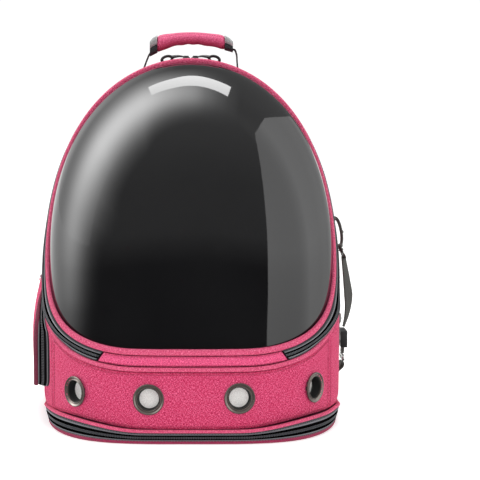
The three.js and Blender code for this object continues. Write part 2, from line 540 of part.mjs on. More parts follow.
// Carrying handle: padded grip, wrapped ends and webbing feet, on one arched line.
const handleLine = new THREE.CatmullRomCurve3([...HANDLE_LINE.slice(1).reverse().map(({ x, z }) => V(-x, HANDLE.y, z)), ...HANDLE_LINE.map(({ x, z }) => V(x, HANDLE.y, z))].map((p) => p.add(V(HANDLE.shift, 0, HANDLE.lean * p.x * smooth(p.z, 380, 405)))));
const Y = V(0, 1, 0);
function handleStretch(from, to, steps, width, thick, corners) {
  const at = [...Array(steps + 1).keys()].map((i) => bisect(0, 1, (t) => handleLine.getPoint(t).x < lerp(from, to, i / steps)));
  return along(at.map((t) => handleLine.getPoint(t)), Y, width, thick, corners, at.map((t) => handleLine.getTangent(t).multiplyScalar(Math.sign(to - from))));
}
const crownHeight = (x) => SPRING + (TOP - SPRING) * (1 - (x / HALF_WIDTH) ** 2) ** (1 / ARCH_POWER);
// Where the handle's webbing meets the crown of the body, for each side.
const handleFoot = (side) => handleLine.getPoint(bisect(0.5, side > 0 ? 1 : 0, (t) => { const p = handleLine.getPoint(t); return p.z > crownHeight(p.x) + HANDLE.rise; })).x;
add('handle_grip', handleStretch(-HANDLE_ENDS.grip, HANDLE_ENDS.grip, 10, HANDLE.width, HANDLE.grip, 10), PINK, 0.9);
for (const [name, side] of [['left', -1], ['right', 1]]) {
  add(`handle_wrap_${name}`, handleStretch(side * (HANDLE_ENDS.grip + 0.9), side * HANDLE_ENDS.wrap, 3, HANDLE.width + 1, HANDLE.wrap, 10), GREY, 0.9);
  add(`handle_web_${name}`, handleStretch(side * (HANDLE_ENDS.wrap + 0.5), handleFoot(side), 4, HANDLE.webWidth, HANDLE.web, 4), WEB, 0.9);
}

// Straps: padded upper part, ring, snap hook, webbing, ladder lock, bar and anchor tab.
const STRAP = { // ringBite: how far the ring reaches past the hook's bow
   padThick: 10, web: 25, webThick: 2.2, ringBar: 3.4, ringHalf: 8, ringBite: 7.8, hookThick: 6, lockThick: 8, barWire: 3.6 };
const PAD_LINE = [ // right side: centre line of the padded part and its width
  { x: 46, y: 132, z: 358, w: 50 }, { x: 54, y: 148, z: 345, w: 54 }, { x: 68, y: 164, z: 320, w: 58 }, { x: 88, y: 170, z: 290, w: 58 },
  { x: 110, y: 166, z: 262, w: 56 }, { x: 130, y: 156, z: 238, w: 50 }, { x: 141, y: 149.5, z: 225, w: 40 },
  { x: 148.5, y: 144, z: 217.5, w: 24 },
];
const LOWER = { // below the padded part: ring, hook ends and webbing, left tucked behind the back
  right: {
    hook: [[157, 139.5, 206], [182, 132, 163]],
    web: [[183.2, 131, 159.5], [188.5, 130, 135], [191, 130, 110], [188.5, 129, 88], [184.8, 128, 77.5]],
    lock: [183.4, 127, 64.5], tail: [[183.2, 126.5, 53], [182.8, 126, 46.5]], bar: [182.6, 125.5, 41.5], tab: [[182.4, 125, 35.4], [181.8, 125, 32], [177, 123, 26.5], [171.2, 119, 21.5]],
  },
  left: {
    hook: [[155.5, 140.5, 202.5], [158, 148, 161]],
    web: [[158.4, 148.2, 157], [160, 152, 133], [160.5, 153, 110], [159.5, 149, 88], [158.2, 147, 78]],
    lock: [157.8, 146.5, 64.5], tail: [[157.6, 146, 53], [157.4, 145.5, 46.5]], bar: [157.2, 145, 41.5], tab: [[157, 145, 35.4], [156.9, 145, 32], [156.3, 139.5, 27], [155.5, 133, 22]],
  },
};
function hookShape(length) { // half outline of a swivel snap hook, from the hook's bow to the strap eye
  const half = [
    { a: 0, w: 3 }, { a: 0.05, w: 7 }, { a: 0.16, w: 9.2 }, { a: 0.36, w: 8.8 }, { a: 0.5, w: 5.6 }, { a: 0.56, w: 3.4 }, { a: 0.6, w: 5.8 },
    { a: 0.68, w: 5.8 }, { a: 0.71, w: 3 }, { a: 0.76, w: 3 }, { a: 0.79, w: 15 }, { a: 0.97, w: 16 }, { a: 1, w: 14.5 },
  ];
  const s = new THREE.Shape([...half.map(({ a, w }) => new THREE.Vector2(w, a * length)), ...half.reverse().map(({ a, w }) => new THREE.Vector2(-w, a * length))]);
  const bow = new THREE.Path(), eye = new THREE.Path();
  bow.absellipse(0, 0.25 * length, 5, 0.17 * length, 0, 2 * Math.PI, true);
  eye.setFromPoints([[-12.8, 0.85], [-12.8, 0.92], [12.8, 0.92], [12.8, 0.85]].map(([x, a]) => new THREE.Vector2(x, a * length)));
  s.holes.push(bow, eye);
  return s;
}
// Places a flat shape with its own x along y, its own y down a line, and its thickness centred.
function placed(geometry, from, to, thick) {
  const down = to.clone().sub(from).normalize(), wide = Y.clone().addScaledVector(down, -Y.dot(down)).normalize();
  const m = new THREE.Matrix4().makeBasis(wide, down, V(0, 0, 0).crossVectors(wide, down));
  return geometry.translate(0, 0, -thick / 2).applyMatrix4(m).translate(from.x, from.y, from.z);
}
const boxShape = (w, h, slots) => {
  const s = new THREE.Shape([[-w, 0], [w, 0], [w, h], [-w, h]].map(([x, y]) => new THREE.Vector2(x, y)));
  for (const [a, b] of slots) s.holes.push(new THREE.Path().setFromPoints([[-w + 3, a], [-w + 3, b], [w - 3, b], [w - 3, a]].map(([x, y]) => new THREE.Vector2(x, y))));
  return s;
};
for (const [name, side] of [['left', -1], ['right', 1]]) {
  const at = ([x, y, z]) => V(side * x, y, z), low = LOWER[name];
  const line = new THREE.CatmullRomCurve3(PAD_LINE.map(({ x, y, z }) => V(side * x, y, z)));
  const points = [], across = [], widths = [];
  for (let i = 0; i <= 14; i++) {
    const t = i / 14, k = t * (PAD_LINE.length - 1), j = Math.min(Math.floor(k), PAD_LINE.length - 2);
    points.push(line.getPoint(t));
    across.push(V(0, 0, 0).crossVectors(line.getTangent(t), Y).normalize());
    widths.push(lerp(PAD_LINE[j].w, PAD_LINE[j + 1].w, k - j));
  }
  add(`shoulder_pad_${name}`, along(points, across, widths, STRAP.padThick, 10), PINK, 0.9);
  const from = at(low.hook[0]), to = at(low.hook[1]);
  const down = to.clone().sub(from).normalize();
  const level = V(0, 0, 0).crossVectors(down, Y).normalize();
  add(`pad_ring_${name}`, barRing(from.clone().addScaledVector(down, STRAP.ringBite - STRAP.ringHalf), level, down, 15, STRAP.ringHalf, STRAP.ringBar), GUNMETAL, 0.35, 1);
  add(`snap_hook_${name}`, placed(new THREE.ExtrudeGeometry(hookShape(from.distanceTo(to)), { depth: STRAP.hookThick, bevelEnabled: false, curveSegments: 6 }), from, to, STRAP.hookThick), GUNMETAL, 0.35, 1);
  add(`strap_web_${name}`, along(new THREE.CatmullRomCurve3(low.web.map(at)).getSpacedPoints(14), Y, STRAP.web, STRAP.webThick), WEB, 0.9);
  const lock = at(low.lock);
  add(`ladder_lock_${name}`, placed(new THREE.ExtrudeGeometry(boxShape(16, 20, [[3.5, 6.5], [12.5, 16]]), { depth: STRAP.lockThick, bevelEnabled: false }), lock.clone().setZ(lock.z + 10), lock.clone().setZ(lock.z - 10), STRAP.lockThick), 0x2c2d2e, 0.5);
  add(`strap_tail_${name}`, along(low.tail.map(at), Y, STRAP.web, STRAP.webThick), WEB, 0.9);
  add(`strap_bar_${name}`, barRing(at(low.bar), Y, V(0, 0, 1), 14.5, 2.6, STRAP.barWire, 20), GREY, 0.4, 1);
  add(`anchor_tab_${name}`, along(low.tab.map(at), Y, [25, 24, 17, 9], [4, 5, 5, 5]), WEB, 0.9);
}

export default pack;
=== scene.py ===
# Looks of the domed pet carrier backpack: cloth, bindings, zips, stitching, metal and smoked dome.
import math

import bmesh
import bpy
import numpy as np
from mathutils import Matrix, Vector

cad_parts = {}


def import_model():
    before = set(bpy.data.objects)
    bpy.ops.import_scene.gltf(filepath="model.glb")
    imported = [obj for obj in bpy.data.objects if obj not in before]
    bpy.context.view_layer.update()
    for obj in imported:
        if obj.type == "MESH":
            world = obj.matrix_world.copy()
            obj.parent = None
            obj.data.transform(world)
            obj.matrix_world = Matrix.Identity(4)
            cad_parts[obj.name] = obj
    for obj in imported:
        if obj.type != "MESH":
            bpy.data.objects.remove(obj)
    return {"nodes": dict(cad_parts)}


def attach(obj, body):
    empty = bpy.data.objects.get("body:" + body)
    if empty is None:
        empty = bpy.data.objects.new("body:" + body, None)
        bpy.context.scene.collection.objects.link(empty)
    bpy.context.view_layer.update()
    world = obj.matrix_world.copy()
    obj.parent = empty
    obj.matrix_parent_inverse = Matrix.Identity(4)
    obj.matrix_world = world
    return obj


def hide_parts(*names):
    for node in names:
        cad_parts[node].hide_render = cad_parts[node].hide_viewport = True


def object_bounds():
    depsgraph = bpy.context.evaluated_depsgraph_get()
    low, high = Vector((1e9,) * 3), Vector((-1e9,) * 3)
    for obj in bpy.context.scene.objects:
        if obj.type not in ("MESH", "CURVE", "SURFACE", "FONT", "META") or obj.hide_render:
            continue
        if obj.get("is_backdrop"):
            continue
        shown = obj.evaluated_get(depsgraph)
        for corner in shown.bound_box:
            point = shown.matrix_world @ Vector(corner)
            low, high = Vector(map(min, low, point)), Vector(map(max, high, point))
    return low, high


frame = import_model()
CAD_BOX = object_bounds()
NODES = frame["nodes"]
MM = 0.001

# ------------------------------------------------------------------ sizes, in millimetres
HALF_WIDTH, FRONT_REACH, BODY_DEPTH, TOP, SPRING = 157.5, 158.0, 120.0, 391.0, 169.0
ARCH_POWER, PLAN_LOW, PLAN_TOP, GAP = 2.345, 2.85, 2.15, 0.35
WALL_FOOT, RIM_LOW, RIM_FLAT, RIM_RISE, RIM_POWER = 15.4, 93.6, 56.0, 210.0, 2.0
RIM_W, ZIP_W, PIPE_W = 4.3, 15.0, 20.3
BODY_EDGE, GUSSET_HALF, SEAM = PIPE_W + 0.9, 93.0, 165.0
SINK, SIDE_SWELL, BACK = 4.0, 13.5, 126.35
BASE_HALF, BASE_POWER, BASE_ROUND = 159.5, 3.0, 24.0
RIM_SHOULDER = RIM_LOW + RIM_RISE
VENTS = [("1", -1, 124.0, 48.5), ("2", -1, 42.5, 45.5), ("3", 1, 48.5, 46.5), ("4", 1, 136.0, 51.0)]
GUSSET_SHIFT = 1.8


# ------------------------------------------------------------------ small maths
def lerp(a, b, t):
    return a + (b - a) * t


def smooth(x, a, b):
    t = np.clip((np.asarray(x, float) - a) / (b - a), 0, 1)
    return t * t * (3 - 2 * t)


def unit(v):
    v = np.asarray(v, float)
    return v / np.maximum(np.linalg.norm(v, axis=-1, keepdims=True), 1e-12)


def arc(p):
    return np.concatenate([[0], np.cumsum(np.linalg.norm(np.diff(p, axis=0), axis=1))])


def resample(p, step=None, count=None):
    p = np.asarray(p, float)
    l = arc(p)
    n = count or max(2, int(round(l[-1] / step)) + 1)
    t = np.linspace(0, l[-1], n)
    return np.stack([np.interp(t, l, p[:, k]) for k in range(p.shape[1])], 1)


def spline(points, count):
    """A smooth curve through the points, tangents from their neighbours."""
    p = np.asarray(points, float)
    l = arc(p) if p.shape[1] < 4 else arc(p[:, :3])
    m = np.gradient(p, l, axis=0)
    t = np.linspace(0, l[-1], count)
    i = np.clip(np.searchsorted(l, t, "right") - 1, 0, len(p) - 2)
    h = (l[i + 1] - l[i])[:, None]
    u = ((t - l[i]) / (l[i + 1] - l[i]))[:, None]
    return ((2 * u**3 - 3 * u**2 + 1) * p[i] + (u**3 - 2 * u**2 + u) * h * m[i]
            + (-2 * u**3 + 3 * u**2) * p[i + 1] + (u**3 - u**2) * h * m[i + 1])


def wobble(t, seed, scale):
    """Slow smooth unevenness along a length, between about -1 and 1."""
    t = np.asarray(t, float) / scale
    return (np.sin(t + seed) + 0.6 * np.sin(2.3 * t + 1.7 * seed) + 0.4 * np.sin(4.1 * t + 2.9 * seed)) / 2.0


# ------------------------------------------------------------------ the body's outer face
def arch_half(z):
    t = np.clip((np.asarray(z, float) - SPRING) / (TOP - SPRING), 0, 1)
    return HALF_WIDTH * np.sqrt(np.maximum(1 - t**ARCH_POWER, 0))


def plan_power(z):
    return lerp(PLAN_LOW, PLAN_TOP, np.clip((np.asarray(z, float) - SPRING) / (TOP - SPRING), 0, 1))


def plan_point(angle, a, b, power):
    s, c = np.sin(angle), np.cos(angle)
    r = ((np.abs(s) / a) ** power + (np.abs(c) / b) ** power) ** (-1 / power)
    return r * s, -r * c


_ang = np.linspace(0, math.pi / 2, 6001)
_len = arc(np.stack(plan_point(_ang, HALF_WIDTH, FRONT_REACH, PLAN_LOW), 1))
QUARTER = _len[-1]


def face(side, s, z):
    side, s, z = np.broadcast_arrays(np.asarray(side, float), np.asarray(s, float), np.asarray(z, float))
    side, s = np.where(s < 0, -side, side), np.abs(s)
    a = np.maximum(arch_half(z), 1e-6)
    x, y = plan_point(np.interp(np.minimum(s, QUARTER), _len, _ang), a, FRONT_REACH * a / HALF_WIDTH, plan_power(z))
    back = s >= QUARTER
    return np.stack([side * np.where(back, a, x), np.where(back, s - QUARTER, y), z], -1)


def skin_normal(side, s, z, e=0.6):
    side, s, z = np.broadcast_arrays(np.asarray(side, float), np.asarray(s, float), np.asarray(z, float))
    ts = face(side, s + e, z) - face(side, s - e, z)
    tz = face(side, s, z + e) - face(side, s, z - e)
    return unit(np.cross(ts, tz) * side[..., None])


def skin(side, s, z, n=0.0):
    return face(side, s, z) + skin_normal(side, s, z) * np.asarray(n, float)[..., None]


def swell(y, z):
    y = np.asarray(y, float)
    depth = np.where(y < 70, smooth(y, -10, 70), 1 - 0.5 * smooth(y, 70, BODY_DEPTH))
    return SIDE_SWELL * depth * (0.45 + 0.55 * smooth(z, 10, 75)) * (1 - smooth(z, 130, 320))


def hip(side, s, z):
    """How much fuller the cloth is around the body's lower corners."""
    s, z = np.asarray(s, float), np.asarray(z, float)
    full = np.where(np.asarray(side, float) < 0, 2.0, 3.8)
    return full * smooth(s, 140, 195) * (1 - smooth(s, QUARTER + 5, QUARTER + 60)) * smooth(z, 16, 34) * (1 - smooth(z, 110, 150))


def foot_rise(x, y):
    """How far the seam over the base stands higher at the front corners than at the front centre."""
    return 8.5 * smooth(np.abs(np.asarray(x, float)), 50, 132) * (1 - smooth(y, -85, -4))


# ------------------------------------------------------------------ the dome's rim
_w = np.linspace(0, math.pi / 2, 6001)
_cs = RIM_FLAT + (QUARTER - RIM_FLAT) * np.sin(_w) ** (2 / RIM_POWER)
_cz = RIM_LOW + RIM_RISE * (1 - np.maximum(np.cos(_w), 0) ** (2 / RIM_POWER))
_cl = arc(np.stack([_cs, _cz], 1))
_ct = unit(np.stack([np.gradient(_cs, _cl), np.gradient(_cz, _cl)], 1))
CORNER = _cl[-1]
_first = math.acos(((RIM_SHOULDER - SPRING) / (TOP - SPRING)) ** (ARCH_POWER / 2))
_ca = _first * (1 - np.linspace(0, 1, 4001))
_kx = HALF_WIDTH * np.sin(_ca)
_kz = SPRING + (TOP - SPRING) * np.cos(_ca) ** (2 / ARCH_POWER)
_kl = arc(np.stack([_kx, _kz], 1))
_kt = unit(np.stack([np.gradient(_kx, _kl), np.gradient(_kz, _kl)], 1))
CROWN = _kl[-1]
RIM_HALF = RIM_FLAT + CORNER + CROWN


def on_rim(side, q, d, n):
    """A point a length q along half the rim, d outward from it in the face and n off the face."""
    side, q, d, n = np.broadcast_arrays(*(np.asarray(v, float) for v in (side, q, d, n)))
    side, q = np.where(q < 0, -side, side), np.abs(q)
    u = np.clip(q - RIM_FLAT, 0, CORNER)
    ts, tz = np.interp(u, _cl, _ct[:, 0]), np.interp(u, _cl, _ct[:, 1])
    flat = q <= RIM_FLAT
    s = np.where(flat, q, np.interp(u, _cl, _cs) + d * tz)
    z = np.where(flat, RIM_LOW - d, np.interp(u, _cl, _cz) - d * ts)
    low = skin(side, s, z, n + np.where(flat, 0, swell(s - QUARTER, z)))
    v = np.clip(q - RIM_FLAT - CORNER, 0, CROWN)
    x1, z1 = np.interp(v, _kl, _kx), np.interp(v, _kl, _kz)
    tx, tk = np.interp(v, _kl, _kt[:, 0]), np.interp(v, _kl, _kt[:, 1])
    off = n + swell(d, z1)
    high = np.stack([side * (x1 + tk * off), d, z1 - tx * off], -1)
    return np.where((q > RIM_FLAT + CORNER)[..., None], high, low)


def flare(z, d):
    """How far the zip stands out from the wall at the sides of the dome."""
    reach = np.interp(z, [96, 105, 125, 150, 180, 217, 245, 290, 335], [0.0, 2.0, 3.6, 3.4, 2.9, 1.6, 1.0, 0.6, 0.0])
    return reach * smooth(d, 3.5, 11.5) * (1 - 0.85 * smooth(d, 12.8, 16.5))


def on_zip(side, q, d, n):
    side, q, d, n = np.broadcast_arrays(*(np.asarray(v, float) for v in (side, q, d, n)))
    z = on_rim(side, q, d, 0.0)[..., 2]
    u = np.clip(q - RIM_FLAT, 0, CORNER)
    s = np.where(q <= RIM_FLAT, q, np.interp(u, _cl, _cs) + d * np.interp(u, _cl, _ct[:, 1]))
    return on_rim(side, q, d, n + flare(z, d) + hip(side, s, z) * smooth(d, 3.5, 11.5))


def rim_loop(step, start=0.0):
    """(side, q) around the rim, from the right half's start over the top to the left half's start."""
    half = np.linspace(start, RIM_HALF, int(round((RIM_HALF - start) / step)) + 1)
    side = np.concatenate([np.ones(len(half)), -np.ones(len(half) - 1)])
    return side, np.concatenate([half, half[:-1][::-1]])


def edge_height(s, d):
    q = np.linspace(0, RIM_FLAT + CORNER, 4000)
    u = np.clip(q - RIM_FLAT, 0, CORNER)
    es = np.where(q <= RIM_FLAT, q, np.interp(u, _cl, _cs) + d * np.interp(u, _cl, _ct[:, 1]))
    ez = np.where(q <= RIM_FLAT, RIM_LOW - d, np.interp(u, _cl, _cz) - d * np.interp(u, _cl, _ct[:, 0]))
    return np.interp(s, es, ez), es, ez


def edge_plan(z, d):
    _, es, ez = edge_height(0.0, d)
    k = np.argmax(ez > ez[0] + 0.01)
    return np.where(np.asarray(z) >= RIM_SHOULDER - 1, QUARTER + d, np.interp(z, ez[k:], es[k:]))


# ------------------------------------------------------------------ materials
class Graph:
    """A material's node tree, with short calls for the nodes used here."""

    def __init__(self, name):
        self.mat = bpy.data.materials.new(name)
        self.mat.use_nodes = True
        self.t = self.mat.node_tree
        self.t.nodes.clear()
        self.out = self.t.nodes.new("ShaderNodeOutputMaterial")
        self.bsdf = self.t.nodes.new("ShaderNodeBsdfPrincipled")
        self.t.links.new(self.bsdf.outputs[0], self.out.inputs[0])

    def put(self, socket, value):
        if isinstance(value, bpy.types.NodeSocket):
            self.t.links.new(value, socket)
        elif value is not None:
            socket.default_value = value

    def set(self, **values):
        for k, v in values.items():
            self.put(self.bsdf.inputs[k.replace("_", " ")], v)

    def uv(self):
        return self.t.nodes.new("ShaderNodeUVMap").outputs[0]

    def obj(self):
        return self.t.nodes.new("ShaderNodeTexCoord").outputs["Object"]

    def sep(self, v):
        n = self.t.nodes.new("ShaderNodeSeparateXYZ")
        self.put(n.inputs[0], v)
        return n.outputs

    def comb(self, x, y, z=0.0):
        n = self.t.nodes.new("ShaderNodeCombineXYZ")
        for i, v in enumerate((x, y, z)):
            self.put(n.inputs[i], v)
        return n.outputs[0]

    def math(self, op, a, b=None, c=None):
        n = self.t.nodes.new("ShaderNodeMath")
        n.operation = op
        for i, v in enumerate((a, b, c)):
            self.put(n.inputs[i], v)
        return n.outputs[0]

    def add(self, a, b):
        return self.math("ADD", a, b)

    def mul(self, a, b):
        return self.math("MULTIPLY", a, b)

    def sin(self, a):
        return self.math("SINE", a)

    def noise(self, v, scale=1.0, detail=2.0, rough=0.5):
        n = self.t.nodes.new("ShaderNodeTexNoise")
        self.put(n.inputs["Vector"], v)
        n.inputs["Scale"].default_value = scale
        n.inputs["Detail"].default_value = detail
        n.inputs["Roughness"].default_value = rough
        return n.outputs["Fac"]

    def voronoi(self, v, scale):
        n = self.t.nodes.new("ShaderNodeTexVoronoi")
        self.put(n.inputs["Vector"], v)
        n.inputs["Scale"].default_value = scale
        return n.outputs["Distance"]

    def range(self, v, a, b, c, d):
        n = self.t.nodes.new("ShaderNodeMapRange")
        for i, x in enumerate((v, a, b, c, d)):
            self.put(n.inputs[i], x)
        return n.outputs[0]

    def ramp(self, fac, stops):
        n = self.t.nodes.new("ShaderNodeValToRGB")
        e = n.color_ramp.elements
        while len(e) < len(stops):
            e.new(0.5)
        for el, (p, c) in zip(e, stops):
            el.position = p
            el.color = (*c, 1.0)
        self.put(n.inputs[0], fac)
        return n.outputs[0]

    def mix(self, fac, a, b, mode="MIX"):
        n = self.t.nodes.new("ShaderNodeMix")
        n.data_type = "RGBA"
        n.blend_type = mode
        self.put(n.inputs[0], fac)
        for i, v in ((6, a), (7, b)):
            self.put(n.inputs[i], (*v, 1.0) if isinstance(v, tuple) else v)
        return n.outputs[2]

    def bump(self, height, strength, distance, normal=None):
        n = self.t.nodes.new("ShaderNodeBump")
        n.inputs["Strength"].default_value = strength
        n.inputs["Distance"].default_value = distance
        self.put(n.inputs["Height"], height)
        if normal is not None:
            self.put(n.inputs["Normal"], normal)
        return n.outputs[0]


def lin(r, g, b):
    """Linear values of a colour given in 0 to 255."""
    f = lambda c: c / 12.92 if c <= 0.04045 else ((c + 0.055) / 1.055) ** 2.4
    return tuple(f(v / 255) for v in (r, g, b))


def shade(c, k):
    return tuple(min(v * k, 1.0) for v in c)


def woven(name, colour, spread=0.34, thread=0.09, slub=13.0, rough=0.86, sheen=0.2, bump=0.35, tint=None, coords="uv", under=None):
    """Heathered plain weave: crossing threads of uneven colour, with slubs and a fine weave relief.
    Texture lengths are in centimetres. Given under, a band across V is darkened: painted shade on the underside."""
    g = Graph(name)
    if coords == "uv":
        x, y, _ = g.sep(g.uv())
    else:
        ox, oy, oz = g.sep(g.obj())
        x = g.mul(g.add(ox, g.mul(oy, 0.6)), 100.0)
        y = g.mul(g.add(oz, g.mul(oy, 0.4)), 100.0)
    weft = g.noise(g.comb(g.mul(x, slub * 0.3), g.mul(y, slub * 1.3), 0.0), 1.0, 2.0, 0.6)
    warp = g.noise(g.comb(g.mul(x, slub * 1.3), g.mul(y, slub * 0.3), 5.0), 1.0, 2.0, 0.6)
    speck = g.noise(g.comb(g.mul(x, slub * 1.2), g.mul(y, slub * 1.2), 9.0), 1.0, 2.0, 0.6)
    cloud = g.noise(g.comb(g.mul(x, 0.35), g.mul(y, 0.35), 2.0), 1.0, 2.0)
    k = 2 * math.pi / thread
    cross = g.mul(g.sin(g.mul(x, k)), g.sin(g.mul(y, k)))
    both = g.add(g.mul(weft, 0.42), g.add(g.mul(warp, 0.36), g.mul(speck, 0.22)))
    fac = g.add(both, g.mul(cross, 0.05))
    colours = g.ramp(fac, [(0.405, shade(colour, 1 - spread)), (0.5, colour), (0.595, tint or shade(colour, 1 + spread))])
    base = g.mix(g.range(cloud, 0.3, 0.7, 0.0, 0.16), colours, shade(colour, 0.8))
    # painted shade: a band around the section (UV V) darkened to 0.3 of the colour, for the underside in shadow
    if under:
        a, b, c, d = under
        base = g.mix(g.mul(g.range(y, a, b, 0.0, 0.75), g.range(y, c, d, 1.0, 0.0)), base, shade(colour, 0.3))
    g.set(Base_Color=base)
    g.set(Roughness=g.range(both, 0.3, 0.7, rough + 0.08, rough - 0.06))
    g.set(Sheen_Weight=sheen, Sheen_Roughness=0.45, Specular_IOR_Level=0.22)
    g.bsdf.inputs["Sheen Tint"].default_value = (*shade(colour, 1.3), 1.0)
    height = g.add(g.mul(cross, 0.5), g.mul(both, 1.6))
    g.set(Normal=g.bump(height, bump, 0.0006))
    return g.mat


def tape(name, colour, rough=0.7, pitch=0.16, shine=0.35):
    """Zip tape or webbing: fine ribs across the length in a slanting twill. Texture lengths in centimetres."""
    g = Graph(name)
    x, y, _ = g.sep(g.uv())
    k = 2 * math.pi / pitch
    zig = g.math("PINGPONG", y, 0.14)
    twill = g.sin(g.mul(g.add(x, zig), k))
    rib = g.sin(g.mul(y, 2 * math.pi / 0.07))
    grain = g.noise(g.comb(g.mul(x, 4.0), g.mul(y, 30.0), 0.0), 1.0, 3.0, 0.6)
    wear = g.noise(g.comb(g.mul(x, 0.5), g.mul(y, 2.0), 4.0), 1.0, 2.0)
    fac = g.add(g.mul(grain, 0.8), g.mul(twill, 0.1))
    colours = g.ramp(fac, [(0.2, shade(colour, 0.6)), (0.45, colour), (0.75, shade(colour, 1.55))])
    g.set(Base_Color=g.mix(g.range(wear, 0.35, 0.75, 0.0, 0.25), colours, shade(colour, 1.3)))
    g.set(Roughness=g.range(grain, 0.3, 0.7, rough + 0.12, rough - 0.08), Specular_IOR_Level=shine)
    g.set(Normal=g.bump(g.add(g.mul(twill, 0.7), g.mul(rib, 0.3)), 0.35, 0.0004))
    return g.mat


def metal(name, colour, rough=0.3, scale=60.0, plate=1.0):
    g = Graph(name)
    v = g.obj()
    fine = g.noise(v, scale * 12, 4.0, 0.6)
    slow = g.noise(v, scale, 3.0, 0.5)
    g.set(Base_Color=g.mix(g.range(slow, 0.35, 0.7, 0.0, 0.5), colour, shade(colour, 0.72)), Metallic=plate)
    g.set(Roughness=g.range(g.add(g.mul(fine, 0.5), g.mul(slow, 0.5)), 0.3, 0.7, rough * 0.75, rough * 1.35))
    g.set(Normal=g.bump(fine, 0.06, 0.0002))
    return g.mat


def plastic(name, colour, rough=0.45):
    g = Graph(name)
    v = g.obj()
    grain = g.noise(v, 2200.0, 2.0)
    slow = g.noise(v, 90.0, 3.0)
    g.set(Base_Color=g.mix(g.range(slow, 0.3, 0.7, 0.0, 0.4), colour, shade(colour, 1.5)))
    g.set(Roughness=g.range(slow, 0.3, 0.7, rough * 0.85, rough * 1.2))
    g.set(Normal=g.bump(grain, 0.15, 0.0002))
    return g.mat


def smoked(name):
    """Polished smoked plastic: almost black, with faint haze in its gloss."""
    g = Graph(name)
    v = g.obj()
    haze = g.noise(v, 9.0, 3.0, 0.55)
    dust = g.noise(v, 700.0, 2.0, 0.6)
    g.set(Base_Color=g.mix(g.range(haze, 0.3, 0.75, 0.0, 1.0), (0.0035, 0.0035, 0.004), (0.006, 0.006, 0.0065)))
    g.set(Roughness=g.range(g.add(g.mul(haze, 0.7), g.mul(dust, 0.3)), 0.3, 0.7, 0.03, 0.055))
    g.set(IOR=1.42, Specular_IOR_Level=0.5)
    return g.mat


def thread(name, colour):
    g = Graph(name)
    v = g.obj()
    ply = g.noise(v, 1800.0, 2.0)
    g.set(Base_Color=g.mix(g.range(ply, 0.3, 0.7, 0.0, 1.0), shade(colour, 0.75), shade(colour, 1.2)))
    g.set(Roughness=g.range(ply, 0.3, 0.7, 0.55, 0.8), Normal=g.bump(ply, 0.3, 0.0002))
    return g.mat


PINK_C = lin(203, 26, 85)
PALE_C = lin(246, 136, 175)
M = {
    "pink": woven("heathered_pink", PINK_C, spread=0.62, slub=17.0, tint=PALE_C),
    "strip": woven("hinge_pink", lin(228, 66, 118), spread=0.6, slub=17.0, tint=PALE_C),
    "pipe": woven("pink_binding", lin(208, 64, 106), spread=0.36, slub=14.0, tint=lin(244, 140, 172), bump=0.3),
    "dark": woven("dark_pink_binding", lin(152, 50, 82), spread=0.3, slub=14.0, bump=0.3),
    # paler than the body's pink, a painted highlight for the grip's lit top; under darkens its underside: painted shade
    "grip": woven("pink_grip_painted_highlight_and_shade", lin(214, 78, 120), spread=0.4, slub=15.0, tint=PALE_C, under=(3.0, 4.2, 5.6, 6.5)),
    # dark crimson for the pocket's edge binding: painted shade on the pocket's left-facing edge
    "crimson": woven("crimson_binding_painted_shade", lin(112, 46, 66), spread=0.3, slub=14.0, bump=0.3),
    "pad": woven("pink_padding", PINK_C, spread=0.6, slub=17.0, tint=PALE_C, coords="obj"),
    "zip": tape("charcoal_zip_tape", lin(70, 71, 75), 0.85, shine=0.08),
    "pocket_zip": tape("shaded_zip_tape", lin(46, 44, 47), 0.9, shine=0.02),
    "coil": plastic("charcoal_coil", lin(74, 76, 80), 0.38),
    "web": tape("grey_webbing", lin(60, 59, 55), 0.75, 0.22),
    "wrap": tape("pale_grey_wrap", lin(164, 165, 165), 0.8, 0.2),
    "bind": tape("grey_binding", lin(120, 122, 120), 0.8, 0.2),
    "dome": smoked("smoked_plastic"),
    "gun": metal("gunmetal", lin(104, 95, 90), 0.22, plate=0.55),
    "hook": metal("dark_gunmetal", lin(70, 68, 66), 0.36, plate=0.7),
    "cord": tape("black_cord", lin(7, 7, 8), 0.95, shine=0.0),
    # pale thread lines along the zip tapes; partly painted highlight, standing in for light caught on the tape's ribs
    "edge_thread": thread("grey_thread_and_painted_highlight", lin(112, 113, 118)),
    "steel": metal("plated_metal", lin(200, 200, 198), 0.22),
    "black": plastic("blackened_metal", lin(10, 10, 11), 0.5),
    "plastic": plastic("black_plastic", lin(34, 35, 37)),
    "mesh": thread("pale_mesh_thread", lin(236, 233, 230)),
    "net": thread("dark_mesh_thread", lin(48, 50, 53)),
    # dark pink thread, made darker also to stand in for the shade in the seam grooves: partly painted shade
    "stitch": thread("dark_pink_thread_and_painted_shade", lin(168, 36, 78)),
    "stitch_dark": thread("charcoal_thread", lin(98, 100, 104)),
    "under": tape("charcoal_webbing", lin(40, 41, 44), 0.75, 0.22),
    "lining": woven("dark_lining", lin(58, 58, 62), spread=0.25, slub=16.0, sheen=0.05),
}


